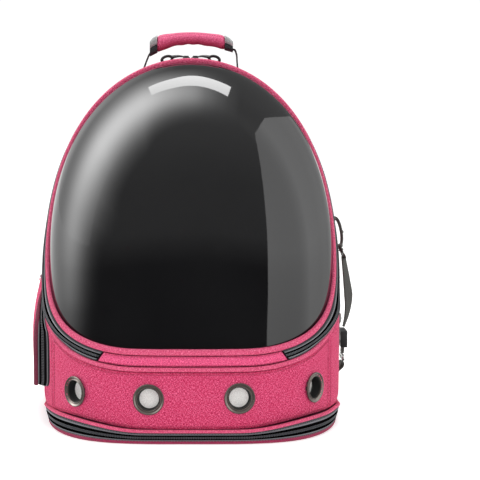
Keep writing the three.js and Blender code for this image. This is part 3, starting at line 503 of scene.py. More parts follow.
# ------------------------------------------------------------------ meshes
def build(name, verts, faces, mat, uvs=None, replaces=(), sharp=50, orient=True):
    """One object from points in millimetres; faces and uvs are lists of arrays, one for each face size."""
    verts = np.asarray(verts, float)
    faces = [np.asarray(f, int) for f in faces if len(f)]
    if orient:
        c, volume = verts.mean(0), 0.0
        for f in faces:
            for k in range(1, f.shape[1] - 1):
                volume += np.sum((verts[f[:, 0]] - c) * np.cross(verts[f[:, k]] - c, verts[f[:, k + 1]] - c))
        if volume < 0:
            faces = [f[:, ::-1] for f in faces]
            uvs = [u[:, ::-1] for u in uvs] if uvs else None
    loops = np.concatenate([f.ravel() for f in faces])
    sizes = np.concatenate([np.full(len(f), f.shape[1]) for f in faces])
    me = bpy.data.meshes.new(name)
    me.vertices.add(len(verts))
    me.vertices.foreach_set("co", (verts * MM).ravel().astype(np.float32))
    me.loops.add(len(loops))
    me.loops.foreach_set("vertex_index", loops.astype(np.int32))
    me.polygons.add(len(sizes))
    me.polygons.foreach_set("loop_start", np.concatenate([[0], np.cumsum(sizes)[:-1]]).astype(np.int32))
    me.polygons.foreach_set("use_smooth", np.ones(len(sizes), bool))
    me.update(calc_edges=True)
    if uvs:
        layer = me.uv_layers.new(name="UVMap")
        layer.data.foreach_set("uv", np.concatenate([np.asarray(u, float).reshape(-1, 2) for u in uvs]).ravel().astype(np.float32))
    me.set_sharp_from_angle(angle=math.radians(sharp))
    me.materials.append(mat)
    return settle(bpy.data.objects.new(name, me), replaces)


def settle(ob, replaces=()):
    if ob.name not in bpy.context.scene.collection.objects:
        bpy.context.scene.collection.objects.link(ob)
    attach(ob, "root")
    if replaces:
        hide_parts(*([replaces] if isinstance(replaces, str) else replaces))
    return ob


def quads(rows, cols, cu=False, cv=False):
    i, j = np.meshgrid(np.arange(rows if cu else rows - 1), np.arange(cols if cv else cols - 1), indexing="ij")
    i, j = i.ravel(), j.ravel()
    i2, j2 = (i + 1) % rows, (j + 1) % cols
    f = np.stack([i * cols + j, i * cols + j2, i2 * cols + j2, i2 * cols + j], 1)
    return f, np.stack([i, i, i + 1, i + 1], 1), np.stack([j, j + 1, j + 1, j], 1)


def lengths(p, closed):
    l = arc(np.concatenate([p, p[:1]]) if closed else p) / 10
    return l


def sweep(name, P, mat, replaces=(), cu=False, sharp=50, U=None, V=None):
    """A solid through closed sections P[i]: along a path that is closed (cu) or capped at both ends."""
    rows, cols = P.shape[:2]
    f, ui, vj = quads(rows, cols, cu, True)
    U = lengths(P.mean(1), cu) if U is None else U
    V = lengths(P[rows // 2], True) if V is None else V
    faces, uvs = [f], [np.stack([U[ui], V[vj]], -1)]
    if not cu:
        ends = np.stack([np.arange(cols)[::-1], (rows - 1) * cols + np.arange(cols)])
        faces.append(ends)
        uvs.append(np.stack([np.stack([np.full(cols, U[0]), V[:cols][::-1]], 1), np.stack([np.full(cols, U[rows - 1]), V[:cols]], 1)]))
    return build(name, P.reshape(-1, 3), faces, mat, uvs, replaces, sharp)


def shell(name, outer, inner, U, V, mat, replaces=(), keep=None, sharp=50):
    """A wall between an outer and an inner grid of points, closed around every open edge."""
    rows, cols = outer.shape[:2]
    f, ui, vj = quads(rows, cols)
    U, V = (np.asarray(a, float) for a in (U, V))
    pick = (lambda a, i, j: a[i, j]) if U.ndim == 2 else None
    uv = np.stack([U[ui, vj], V[ui, vj]], -1) if pick else np.stack([U[ui], V[vj]], -1)
    if keep is not None:
        f, uv = f[keep], uv[keep]
    size = rows * cols
    a, b = f.ravel(), np.roll(f, -1, 1).ravel()
    ua, ub = uv.reshape(-1, 2), np.roll(uv, -1, 1).reshape(-1, 2)
    lone = ~np.isin(a * size + b, b * size + a)
    side = np.stack([b[lone], a[lone], a[lone] + size, b[lone] + size], 1)
    side_uv = np.stack([ub[lone], ua[lone], ua[lone] + 0.3, ub[lone] + 0.3], 1)
    verts = np.concatenate([outer.reshape(-1, 3), inner.reshape(-1, 3)])
    quad = np.concatenate([f, f[:, ::-1] + size, side])
    uvs = np.concatenate([uv, uv[:, ::-1], side_uv])
    used = np.unique(quad)
    new = np.full(len(verts), -1)
    new[used] = np.arange(len(used))
    return build(name, verts[used], [new[quad]], mat, [uvs], replaces, sharp)


def grid_uv(P):
    """Cloth lengths over a grid, in centimetres, measured along its rows and columns."""
    du = np.linalg.norm(np.diff(P, axis=0), axis=2)
    dv = np.linalg.norm(np.diff(P, axis=1), axis=2)
    U = np.concatenate([np.zeros((1, P.shape[1])), np.cumsum(du, 0)]) / 10
    V = np.concatenate([np.zeros((P.shape[0], 1)), np.cumsum(dv, 1)], 1) / 10
    U = U - U[len(U) // 2][None]
    return U, V


def rounded(corners, a, b, power=2.6, turn=0.0):
    t = (np.arange(corners) + 0.5) / corners * 2 * math.pi + turn
    c, s = np.cos(t), np.sin(t)
    e = 2 / power
    return np.stack([a * np.sign(c) * np.abs(c) ** e, b * np.sign(s) * np.abs(s) ** e], 1)


def frames(p, wide, closed=False):
    t = unit(np.roll(p, -1, 0) - np.roll(p, 1, 0)) if closed else unit(np.gradient(p, axis=0))
    w = np.broadcast_to(np.asarray(wide, float), p.shape)
    w = unit(w - t * np.sum(w * t, 1, keepdims=True))
    return t, w, np.cross(t, w)


def ribbon(p, wide, section, closed=False):
    """Sections along a path: section (n, 2) or (rows, n, 2), across the width and the thickness."""
    t, w, h = frames(p, wide, closed)
    s = np.asarray(section, float)
    s = np.broadcast_to(s, (len(p),) + s.shape[-2:])
    return p[:, None] + w[:, None] * s[..., :1] + h[:, None] * s[..., 1:]


class Bag:
    """Many small pieces in one mesh."""

    def __init__(self):
        self.v, self.f, self.n = [], {}, 0

    def put(self, verts, faces):
        self.v.append(verts.reshape(-1, 3))
        for f in faces:
            self.f.setdefault(f.shape[1], []).append(f + self.n)
        self.n += len(verts.reshape(-1, 3))

    def beads(self, p, along, up, length, width, height, profile, corners=6, dip=0.0):
        """A bead at each point, its length along one direction; profile holds (place, fullness) pairs."""
        p, along, up = np.asarray(p, float), unit(along), np.asarray(up, float)
        up = unit(up - along * np.sum(up * along, -1, keepdims=True))
        side = np.cross(along, up)
        ring = rounded(corners, 0.5, 0.5, 2.2)
        v = []
        for place, full in profile:
            c = p + along * (place * length / 2) - up * (dip * place * place)
            for a, b in ring:
                v.append(c + side * (a * width * full) + up * (b * height * full))
        v = np.stack(v, 1)
        m, k = len(p), len(profile)
        f, _, _ = quads(k, corners, False, True)
        caps = np.stack([np.arange(corners)[::-1], (k - 1) * corners + np.arange(corners)])
        base = np.arange(m)[:, None, None] * (k * corners)
        self.put(v, [(f[None] + base).reshape(-1, 4), (caps[None] + base).reshape(-1, corners)])

    def solid(self, P, closed=False):
        rows, cols = P.shape[:2]
        f, _, _ = quads(rows, cols, closed, True)
        faces = [f]
        if not closed:
            faces.append(np.stack([np.arange(cols)[::-1], (rows - 1) * cols + np.arange(cols)]))
        self.put(P, faces)

    def make(self, name, mat, slot, replaces=(), sharp=60):
        v = np.concatenate(self.v)
        faces = [np.concatenate(f) for f in self.f.values()]
        return build(name, v, faces, mat, None, replaces, sharp)


STITCH = [(-1, 0.35), (-0.75, 0.85), (0, 1.0), (0.75, 0.85), (1, 0.35)]
TOOTH = [(-1, 0.55), (-0.6, 1.0), (0.6, 1.0), (1, 0.55)]
pink_stitches, dark_stitches = Bag(), Bag()


def stitch(bag, p, up, pitch=3.3, length=2.5, width=0.8, height=0.7, lift=0.1):
    """A row of stitches along a line of points with their outward directions."""
    p, up = np.asarray(p, float), np.asarray(up, float)
    l = arc(p)
    t = np.arange(pitch / 2, l[-1], pitch)
    at = lambda a: np.stack([np.interp(t, l, a[:, k]) for k in range(3)], 1)
    q, u = at(p), unit(at(up))
    along = unit(at(np.gradient(p, l, axis=0)))
    bag.beads(q + u * lift, along, u, length, width, height, STITCH, dip=0.35)


# ------------------------------------------------------------------ camera
FOCAL, PACK_YAW = 1363.0, math.radians(0.15)     # pixels over a 480-pixel frame
EYE = (-1500 * math.sin(PACK_YAW), -1500 * math.cos(PACK_YAW), 315.0)
AIM = (0.0, 1.0, -(240 - 130.1) / 1345.5)
cam_data = bpy.data.cameras.new("camera")
cam = bpy.data.objects.new("camera", cam_data)
bpy.context.scene.collection.objects.link(cam)
cam_data.sensor_width = 36.0
cam_data.lens = 36.0 * FOCAL / 480.0
cam_data.shift_x = (240 - 190.7) / 480.0
cam.location = Vector(EYE) * MM
look = Vector((AIM[0] * math.cos(PACK_YAW) + AIM[1] * math.sin(PACK_YAW), -AIM[0] * math.sin(PACK_YAW) + AIM[1] * math.cos(PACK_YAW), AIM[2]))
cam.rotation_euler = look.to_track_quat("-Z", "Y").to_euler()
bpy.context.scene.camera = cam
bpy.context.scene.view_settings.view_transform = "Standard"


# ------------------------------------------------------------------ dome
def dome_piece():
    side, q = rim_loop(4.0)
    side, q = side[:-1], q[:-1]
    heart = np.array([0.0, 0.0, 228.0])
    edge = unit(on_rim(side, q, -0.7, -SINK) - heart)
    front = np.array([0.0, -1.0, 0.0])
    theta = np.arccos(np.clip(edge @ front, -1, 1))
    rings = np.sin(np.linspace(1, 0, 64) * math.pi / 2) * 0.6 + np.linspace(1, 0, 64) * 0.4
    rings[-1] = 0.004
    r = rings[:, None]
    way = (np.sin((1 - r) * theta) / np.sin(theta))[..., None] * front + (np.sin(r * theta) / np.sin(theta))[..., None] * edge
    way = unit(way)

    def inside(lam):
        p = heart + way * lam[..., None]
        t = np.clip((p[..., 2] - SPRING) / (TOP - SINK - SPRING), 0, None)
        a = (HALF_WIDTH - SINK) * np.sqrt(np.maximum(1 - t**ARCH_POWER, 1e-9))
        b = (FRONT_REACH - SINK) * a / (HALF_WIDTH - SINK)
        power = lerp(PLAN_LOW, PLAN_TOP, smooth(p[..., 2], SPRING - 40, TOP + 10))
        return (np.abs(p[..., 0]) / a) ** power + (np.abs(p[..., 1]) / b) ** power < 1

    low, high = np.zeros(way.shape[:2]), np.full(way.shape[:2], 400.0)
    for _ in range(44):
        mid = (low + high) / 2
        ok = inside(mid)
        low, high = np.where(ok, mid, low), np.where(ok, high, mid)
    outer = heart + way * low[..., None]
    du = np.gradient(outer, axis=0)
    dv = np.roll(outer, -1, 1) - np.roll(outer, 1, 1)
    n = unit(np.cross(du, dv))
    n = np.where((np.sum(n * way, -1) < 0)[..., None], -n, n)
    inner = outer - n * 2.0
    k = outer.shape[1]
    f, ui, vj = quads(len(rings), k, False, True)
    size = len(rings) * k
    rim = np.stack([np.arange(k), (np.arange(k) + 1) % k, (np.arange(k) + 1) % k + size, np.arange(k) + size], 1)
    last = (len(rings) - 1) * k + np.arange(k)
    return build("dome_shell", np.concatenate([outer.reshape(-1, 3), inner.reshape(-1, 3)]),
                 [np.concatenate([f[:, ::-1], f + size, rim]), np.stack([last, last[::-1] + size])],
                 M["dome"], None, "dome", sharp=70)


dome_piece()


# ------------------------------------------------------------------ strips around the dome
def profile_box(d0, d1, n0, n1, count=16, power=3.0):
    p = rounded(count, (d1 - d0) / 2, (n1 - n0) / 2, power)
    return p + [(d0 + d1) / 2, (n0 + n1) / 2]


def rim_strip(name, profile, mat, replaces, step=3.0, start=None, slant=0.0, uneven=0.12, seed=1.0, slim=0.0, drop=0.0):
    side, q = rim_loop(step) if start is None else rim_loop(step, start)
    if start is None:
        side, q = side[:-1], q[:-1]
    p = np.asarray(profile, float)
    run = np.arange(len(q)) * step
    d = p[None, :, 0] + np.zeros((len(q), 1))
    n = p[None, :, 1] + (uneven * wobble(run, seed, 37.0))[:, None] * (p[None, :, 1] > 0)
    qq = q[:, None] + (slant * (d - 9.8) + GUSSET_SHIFT * side[:, None]) * smooth(q, start + 25, start)[:, None] if start is not None else q[:, None] + 0 * d
    height = on_rim(side, q, 0.0, 0.0)[:, 2][:, None]
    n = n + np.where(n > -2.3, -slim, slim) * (1 - smooth(height, 285, 370))
    n = n - drop * smooth(height, 100, 140) * (1 - smooth(height, 300, 360))
    P = on_zip(side[:, None], qq, d, n)
    return sweep(name, P, mat, replaces, cu=start is None)


rim_strip("dome_binding", profile_box(-2.4, RIM_W, -5.2, 0.9, 20, 3.0), M["pipe"], "dome_rim", seed=0.7, slim=0.75)
rim_strip("body_edge_binding", profile_box(ZIP_W + 0.7, PIPE_W + 0.1, -2.6, 1.9, 16, 2.6), M["pipe"], "edge_piping", seed=2.1, drop=1.6)

ZIP_FACE = [ # across the zip: place and height, from the rim outward
    (3.0, -2.3), (3.0, -1.3), (4.75, -1.1), (4.8, -0.1), (5.1, 0.3), (7.2, 0.3), (7.45, -0.6), (8.55, -0.6), (8.7, 0.25), (9.3, 0.6),
    (9.75, 0.15), (10.2, 0.6), (10.8, 0.25), (10.95, -0.6), (12.05, -0.6), (12.3, 0.3), (14.6, 0.3), (14.9, -0.1), (14.95, -1.1), (17.0, -1.3), (17.0, -2.3),
]
rim_strip("dome_zip_tape", ZIP_FACE, M["zip"], "dome_zip", start=GUSSET_HALF + 1.5, slant=0.5, uneven=0.05)
for k, d0 in (("inner", 7.8), ("outer", 11.7)):
    rim_strip("dome_zip_cord_" + k, rounded(8, 1.15, 0.6) + [d0, 0.1], M["cord"], (), start=GUSSET_HALF + 1.5, slant=0.5, uneven=0.0)
# pale threads along the tape: partly painted highlight for light on its ribs
for k, d0 in (("inner", 6.4), ("outer", 13.1)):
    rim_strip("dome_zip_thread_" + k, rounded(6, 0.42, 0.3) + [d0, 0.35], M["edge_thread"], (), start=GUSSET_HALF + 1.5, slant=0.5, uneven=0.0)
coil = Bag()
side, q = rim_loop(1.7, GUSSET_HALF + 3.0)
for d0 in (9.2, 10.3):
    at = on_zip(side, q, d0, 0.62)
    coil.beads(at, on_zip(side, q, d0 + 0.5, 0.62) - on_zip(side, q, d0 - 0.5, 0.62), on_zip(side, q, d0, 2.0) - at, 1.5, 0.95, 0.9, TOOTH)
coil.make("dome_zip_coil", M["coil"], "zip_tape", sharp=80)


def gusset_piece():
    count, cols = 150, 13
    u = np.linspace(-1, 1, count)
    d = np.linspace(4.9, 14.7, cols)
    e = (d - 4.9) / 9.8
    half = GUSSET_HALF - 0.6 + 0.5 * (d - 9.8)
    q = u[:, None] * half[None] + GUSSET_SHIFT
    ends = 1 - smooth(np.abs(u), 0.985, 1.0)
    n = -0.5 + 1.25 * (1 - np.abs(2 * e - 1) ** 4)[None] * (0.45 + 0.55 * ends)[:, None] + 0.12 * wobble(u * 93, 3.0, 21.0)[:, None]
    outer = on_rim(1.0, q, d[None], n)
    inner = on_rim(1.0, q, d[None], -1.9)
    U, V = grid_uv(outer)
    shell("hinge_strip", outer, inner, U, V, M["strip"], "hinge_gusset")


gusset_piece()
for d0, n0, bag in ((5.75, 0.42, pink_stitches), (13.9, 0.42, pink_stitches)):
    q = np.linspace(-GUSSET_HALF + 4, GUSSET_HALF - 4, 400) + GUSSET_SHIFT
    stitch(bag, on_rim(1.0, q, d0, n0), on_rim(1.0, q, d0, 3.0) - on_rim(1.0, q, d0, 0.0))
side, q = rim_loop(2.0, GUSSET_HALF + 5)
for d0 in (5.9, 13.8):
    stitch(dark_stitches, on_zip(side, q, d0, 0.32), on_zip(side, q, d0, 3.0) - on_zip(side, q, d0, 0.0), 3.0, 2.2, 0.7, 0.5)


# ------------------------------------------------------------------ cloth walls
def vent_mask(centres):
    keep = np.ones(len(centres), bool)
    for _, side, s, z in VENTS:
        at, out = skin(side, s, z), skin_normal(side, s, z)
        r = centres - at
        away = np.linalg.norm(r - np.sum(r * out, -1, keepdims=True) * out, axis=-1)
        keep &= ~((away < 13.6) & (np.linalg.norm(r, axis=-1) < 25))
    return keep


def front_piece():
    cols, rows = 231, 56
    s = np.linspace(-SEAM, SEAM, cols)
    head = edge_height(np.abs(s), BODY_EDGE)[0]
    t = np.linspace(0, 1, rows)
    low = face(np.sign(s) + (s == 0), np.abs(s), 20.0 + 0 * s)
    foot = WALL_FOOT + foot_rise(low[:, 0], low[:, 1])[:, None]
    z = foot + (head[:, None] - foot) * t[None]
    S = s[:, None] + 0 * z
    side = np.where(S < 0, -1.0, 1.0)
    edge = np.minimum(np.minimum(z - foot, head[:, None] - z), (SEAM - np.abs(S)))
    n = -1.0 * np.exp(-edge / 1.6) + 0.55 * smooth(edge, 1, 26) + 0.25 * wobble(S + 0.4 * z, 1.3, 23.0) * smooth(edge, 0, 14)
    pucker = 0.16 * np.sin(S / 3.1 + 2 * wobble(S, 4.0, 30.0)) * np.exp(-np.minimum(z - foot, head[:, None] - z) / 5.0)
    more = hip(side, np.abs(S), z)
    outer = skin(side, np.abs(S), z, n + pucker + more)
    inner = skin(side, np.abs(S), z, -3.0 + more)
    f, _, _ = quads(cols, rows)
    keep = vent_mask(outer.reshape(-1, 3)[f].mean(1))
    shell("front_cloth", outer, inner, S / 10, z / 10, M["pink"], "front_panel", keep)
    line = np.linspace(-SEAM + 2, SEAM - 2, 700)
    sd, a = np.where(line < 0, -1.0, 1.0), np.abs(line)
    for zz in (np.interp(line, s, foot[:, 0]) + 2.6, edge_height(a, BODY_EDGE + 2.4)[0]):
        stitch(pink_stitches, skin(sd, a, zz, 0.1 + hip(sd, a, zz)), skin_normal(sd, a, zz))
    for sd in (-1.0, 1.0):
        zz = np.linspace(foot[0, 0] + 3, edge_height(SEAM - 3.2, BODY_EDGE + 3)[0], 120)
        stitch(pink_stitches, skin(sd, SEAM - 3.2, zz, 0.1 + hip(sd, SEAM - 3.2, zz)), skin_normal(sd, SEAM - 3.2 + 0 * zz, zz))


front_piece()


def arch_run(foot, count):
    """Points along the arch from the left foot to the right foot, with outward directions in its plane."""
    a = np.linspace(-math.pi / 2, math.pi / 2, 6001)
    top = np.stack([HALF_WIDTH * np.sin(a), SPRING + (TOP - SPRING) * np.maximum(np.cos(a), 0) ** (2 / ARCH_POWER)], 1)
    p = np.concatenate([[[-HALF_WIDTH, foot]], top, [[HALF_WIDTH, foot]]])
    p = resample(p, count=count)
    t = unit(np.gradient(resample(p, count=count), axis=0))
    return p, np.stack([-t[:, 1], t[:, 0]], 1)


def side_piece():
    rows, cols = 420, 78
    p, nrm = arch_run(WALL_FOOT, rows)
    z, side = p[:, 1], np.where(p[:, 0] < 0, -1.0, 1.0)
    foot = edge_height(SEAM + GAP, BODY_EDGE)[0]
    seam = np.where(z < foot, SEAM + GAP, np.maximum(SEAM + GAP, edge_plan(z, BODY_EDGE)))
    t = np.linspace(0, 1, cols)
    s = seam[:, None] + (QUARTER + BODY_DEPTH - seam)[:, None] * t[None]
    y = s - QUARTER
    low = face(side[:, None] + 0 * s, np.minimum(s, QUARTER), 20.0 + 0 * s)
    rise = np.where(s < QUARTER, foot_rise(low[..., 0], low[..., 1]), 0.0)
    zz = z[:, None] + rise * (1 - np.clip((z[:, None] - WALL_FOOT) / 45.0, 0, 1))
    edge = np.minimum(np.minimum(s - seam[:, None], QUARTER + BODY_DEPTH - s), np.maximum(zz - WALL_FOOT - rise, 0))
    run = arc(p)[:, None]
    soft = 0.5 * wobble(run + 0.5 * y, 2.2, 41.0) + 0.35 * wobble(0.7 * run - y, 5.1, 19.0)
    low = 1 - smooth(zz, 120, 300)
    crease = 0.9 * np.sin(zz / 11.0 + 0.9 * wobble(y, 1.0, 17.0)) * smooth(y, 30, 100) * low * np.exp(-((zz - 150) / 70.0) ** 2)
    extra = -1.0 * np.exp(-edge / 1.6) + (soft + crease) * smooth(edge, 0, 18) * 0.8

    def at(n):
        off = n + swell(y, zz) + hip(side[:, None], s, zz)
        front = skin(side[:, None] + 0 * s, np.minimum(s, QUARTER), zz, off)
        back = np.stack([p[:, :1] + nrm[:, :1] * off, y, z[:, None] + nrm[:, 1:] * off], -1)
        return np.where((s < QUARTER)[..., None], front, back)

    outer, inner = at(extra), at(-3.0 + 0 * extra)
    shell("side_cloth", outer, inner, run / 10 + 0 * s, s / 10, M["pink"], "side_band")
    for sd in (-1.0, 1.0):
        zs = np.linspace(WALL_FOOT + 11, foot - 4, 120)
        stitch(pink_stitches, skin(sd, SEAM + 3.4, zs, 0.1 + hip(sd, SEAM + 3.4, zs)), skin_normal(sd, SEAM + 3.4 + 0 * zs, zs))
    k = cols - 1
    for j in (int(k * 0.965),):
        stitch(pink_stitches, outer[6:-6, j], (outer - inner)[6:-6, j])
    rows_ok = np.arange(8, rows - 8)
    front_line = np.stack([np.interp(seam[r] + 3.4, s[r], np.arange(cols)) for r in rows_ok])
    i = np.floor(front_line).astype(int)
    w = (front_line - i)[:, None]
    line = outer[rows_ok, i] * (1 - w) + outer[rows_ok, i + 1] * w
    pick = z[rows_ok] > foot + 2
    for half in (line[pick & (p[rows_ok, 0] < 0)], line[pick & (p[rows_ok, 0] >= 0)]):
        c = np.array([0, 60.0, 180.0])
        stitch(pink_stitches, half, half - c)


side_piece()


# ------------------------------------------------------------------ base
def base_loop(step=3.0):
    a = np.linspace(-math.pi / 2, math.pi / 2, 4001)
    x = BASE_HALF * np.sign(a) * np.abs(np.sin(a)) ** (2 / 3.8)
    y = -BASE_HALF * np.abs(np.cos(a)) ** (2 / 2.2)
    t = np.linspace(0, math.pi / 2, 200)
    right = np.stack([BASE_HALF - BASE_ROUND + BASE_ROUND * np.cos(t), BACK - BASE_ROUND + BASE_ROUND * np.sin(t)], 1)
    left = right[::-1] * [-1, 1]
    p = np.concatenate([np.stack([x, y], 1), right, left, [[x[0], y[0]]]])
    p = resample(p, step=step)[:-1] + [1.5, 0.0]
    t = unit(np.roll(p, -1, 0) - np.roll(p, 1, 0))
    return p, np.stack([t[:, 1], -t[:, 0]], 1)


BASE_P, BASE_N = base_loop()
BASE_RISE = foot_rise(BASE_P[:, 0], BASE_P[:, 1])


def base_ring(name, profile, mat, replaces, uneven=0.1, seed=1.0):
    pr = np.asarray(profile, float)
    run = arc(BASE_P)
    up = BASE_RISE[:, None] * np.clip((pr[None, :, 1] - 2.5) / 9.6, 0, 1)
    off = pr[None, :, 0] + (uneven * wobble(run, seed, 29.0))[:, None] + 0.12 * up
    xy = BASE_P[:, None] + BASE_N[:, None] * off[..., None]
    P = np.concatenate([xy, (pr[None, :, 1] + up)[..., None]], -1)
    return sweep(name, P, mat, replaces, cu=True)


low_pipe = profile_box(-7.2, -1.3, 0.0, 4.3, 16, 2.6)
base_ring("base_binding_lower", low_pipe, M["dark"], "base_piping_lower", seed=1.9)
up_pipe = profile_box(-2.0, 2.7, 12.0, 15.4, 16, 2.3)
base_ring("base_binding_upper", up_pipe, M["pipe"], "base_piping_upper", seed=3.3)
BAND = [ # up the zip band: fraction of the height, and relief
    (0.0, -2.2), (0.0, 0.0), (0.03, 0.25), (0.30, 0.3), (0.335, -0.7), (0.365, -0.7), (0.385, 0.25), (0.44, 0.55), (0.485, -0.3),
    (0.515, -0.3), (0.56, 0.55), (0.615, 0.25), (0.635, -0.7), (0.665, -0.7), (0.70, 0.3), (0.97, 0.25), (1.0, 0.0), (1.0, -2.2),
]
band_profile = [(-2.2 + 3.2 * t + 0.9 * h, 2.5 + 9.6 * t - 0.3 * h) for t, h in BAND]
base_ring("base_zip_tape", band_profile, M["zip"], "base_zip_band", uneven=0.05)
for k, u in (("low", 0.33), ("high", 0.67)):
    base_ring("base_zip_cord_" + k, rounded(8, 0.6, 1.1) + [-2.05 + 3.2 * u, 2.5 + 9.6 * u], M["cord"], (), uneven=0.05)
# pale threads along the band: partly painted highlight for light on its ribs
for k, u in (("low", 0.19), ("high", 0.81)):
    base_ring("base_zip_thread_" + k, rounded(6, 0.3, 0.42) + [-1.8 + 3.2 * u, 2.5 + 9.6 * u], M["edge_thread"], (), uneven=0.05)
fine_p, fine_n = base_loop(1.7)
fine_t = np.concatenate([unit(np.roll(fine_p, -1, 0) - np.roll(fine_p, 1, 0)), np.zeros((len(fine_p), 1))], 1)
coil = Bag()
fine_rise = foot_rise(fine_p[:, 0], fine_p[:, 1])[:, None]
lean = np.concatenate([fine_n * 3.2, 9.6 + fine_rise], 1)
out3 = np.concatenate([fine_n * 0.9, np.full((len(fine_p), 1), -0.4)], 1)
for t in (0.44, 0.56):
    at = np.concatenate([fine_p + fine_n * (-2.2 + 3.2 * t + 0.55 + 0.12 * t * fine_rise), 2.3 + (9.6 + fine_rise) * t], 1)
    coil.beads(at, lean, out3, 1.25, 0.95, 0.9, TOOTH)
coil.make("base_zip_coil", M["coil"], "zip_tape", sharp=80)
for t in (0.1, 0.9):
    at = np.concatenate([BASE_P + BASE_N * (-1.9 + 3.2 * t + 0.12 * t * BASE_RISE[:, None]), 2.4 + (9.6 + BASE_RISE[:, None]) * t], 1)
    stitch(dark_stitches, np.concatenate([at, at[:1]]), np.concatenate([BASE_N * 0.9, np.full((len(BASE_P), 1), -0.4)], 1)[list(range(len(BASE_P))) + [0]], 3.0, 2.2, 0.6, 0.5)


def floor_piece():
    loop = BASE_P + BASE_N * -7.6
    rings = np.array([1.0, 0.985, 0.94, 0.8, 0.6, 0.35, 0.02])
    mid = np.array([0.0, -15.0])
    p = mid + (loop - mid)[None] * rings[:, None, None]
    k = len(loop)
    top = np.concatenate([p, np.full(p.shape[:2] + (1,), 3.0)], -1)
    bottom = np.concatenate([p, np.full(p.shape[:2] + (1,), 0.0)], -1)
    f, _, _ = quads(len(rings), k, False, True)
    size = len(rings) * k
    rim = np.stack([np.arange(k), (np.arange(k) + 1) % k, (np.arange(k) + 1) % k + size, np.arange(k) + size], 1)
    last = (len(rings) - 1) * k + np.arange(k)
    verts = np.concatenate([top.reshape(-1, 3), bottom.reshape(-1, 3)])
    faces = [np.concatenate([f[:, ::-1], f + size, rim]), np.stack([last, last[::-1] + size])]
    build("base_cloth", verts, faces, M["dark"], [verts[a][..., :2] / 10 for a in faces], "base_floor")


floor_piece()


# ------------------------------------------------------------------ vents
def lathe(profile, at, out, segments=56):
    out = unit(out)
    a = unit(np.cross(out, [0, 0, 1.0]))
    b = np.cross(out, a)
    t = np.arange(segments) / segments * 2 * math.pi
    ring = np.cos(t)[:, None] * a + np.sin(t)[:, None] * b
    pr = np.asarray(profile, float)
    return at + ring[:, None] * pr[None, :, :1] + out * pr[None, :, 1:]


EYELET = [ # radius and height over the cloth
    (11.5, -4.8), (12.5, -4.8), (12.5, 0.3), (15.3, 0.35), (15.65, 0.8), (15.65, 1.5), (15.4, 2.0), (15.0, 2.1), (14.55, 1.85),
    (14.0, 1.35), (13.3, 0.9), (12.75, 0.75), (12.5, 0.9), (12.35, 1.35), (12.05, 1.6), (11.7, 1.5), (11.5, 1.1), (11.5, -3.0),
]
# a real washer, blackened to stand in for the shade inside the hole: painted shade
SEAT = [(9.9, -5.2), (11.4, -5.2), (11.4, -0.2), (10.9, -0.2), (10.8, -3.4), (10.2, -4.1), (9.9, -4.6)]   # dark inner washer
for name, sd, s0, z0 in VENTS:
    at, out = skin(sd, s0, z0), skin_normal(sd, s0, z0)
    if name in ("1", "4"):   # the cloth pulls these two a little toward the sides
        out = unit(np.asarray(out, float) + [0.16 * np.sign(np.ravel(out)[0]), 0, 0])
    P = lathe(EYELET, at, out)
    sweep("eyelet_" + name, P, M["gun"], "grommet_" + name, cu=True, sharp=65)
    deep = {"1": 8.0, "4": 9.6}.get(name, 5.7)
    # blackened seat: painted shade inside the eyelet
    sweep("eyelet_seat_painted_shade_" + name, lathe([(r, h if h > -1 else h + 5.7 - deep) for r, h in SEAT], at, out), M["black"], (), cu=True, sharp=40)
    bag = Bag()
    a = unit(np.cross(out, [0, 0, 1.0]))
    b = np.cross(out, a)
    centre = at - out * deep
    for u, v, phase in ((a, b, 0), (b, a, 1)):
        for k in range(-11, 12):
            c = k * 1.2
            half = math.sqrt(max(13.8**2 - c * c, 0.0))
            if half < 1.5:
                continue
            t = np.arange(-half, half + 0.01, 0.6)
            h = 0.16 * np.cos(math.pi * (t / 1.2) + math.pi * (k + phase))
            line = centre + u * t[:, None] + v * c + out * h[:, None]
            bag.solid(ribbon(line, v, rounded(5, 0.52, 0.2)))
    bag.make("vent_net_" + name, M["mesh"], "pale_mesh", "vent_mesh_" + name, sharp=80)


# ------------------------------------------------------------------ zip sliders and pulls on the crown
ZIP_MID = (RIM_W + ZIP_W) / 2


def rounded_box(lo, hi, radius, steps=3):
    """A box with rounded edges, as a grid on a sphere pushed out to the box."""
    n = 10
    t = np.linspace(-1, 1, n)
    lo, hi = np.asarray(lo, float), np.asarray(hi, float)
    c, h = (lo + hi) / 2, (hi - lo) / 2 - radius
    u = np.linspace(0, 2 * math.pi, 33)[:-1]
    v = np.linspace(-math.pi / 2, math.pi / 2, 15)[1:-1]
    d = np.stack([np.cos(v)[:, None] * np.cos(u), np.cos(v)[:, None] * np.sin(u), np.sin(v)[:, None] + 0 * u], -1)
    e = np.sign(d) * np.minimum(np.abs(d) * 3.0, 1.0)
    return c + e * h + d * radius


def crown_frame(x, y, up):
    """A point over the crown at a place across it and a depth y, raised by up."""
    z = SPRING + (TOP - SPRING) * (1 - (np.asarray(x, float) / HALF_WIDTH) ** 2) ** (1 / ARCH_POWER)
    return np.stack([x, y + 0 * z, z + up], -1)


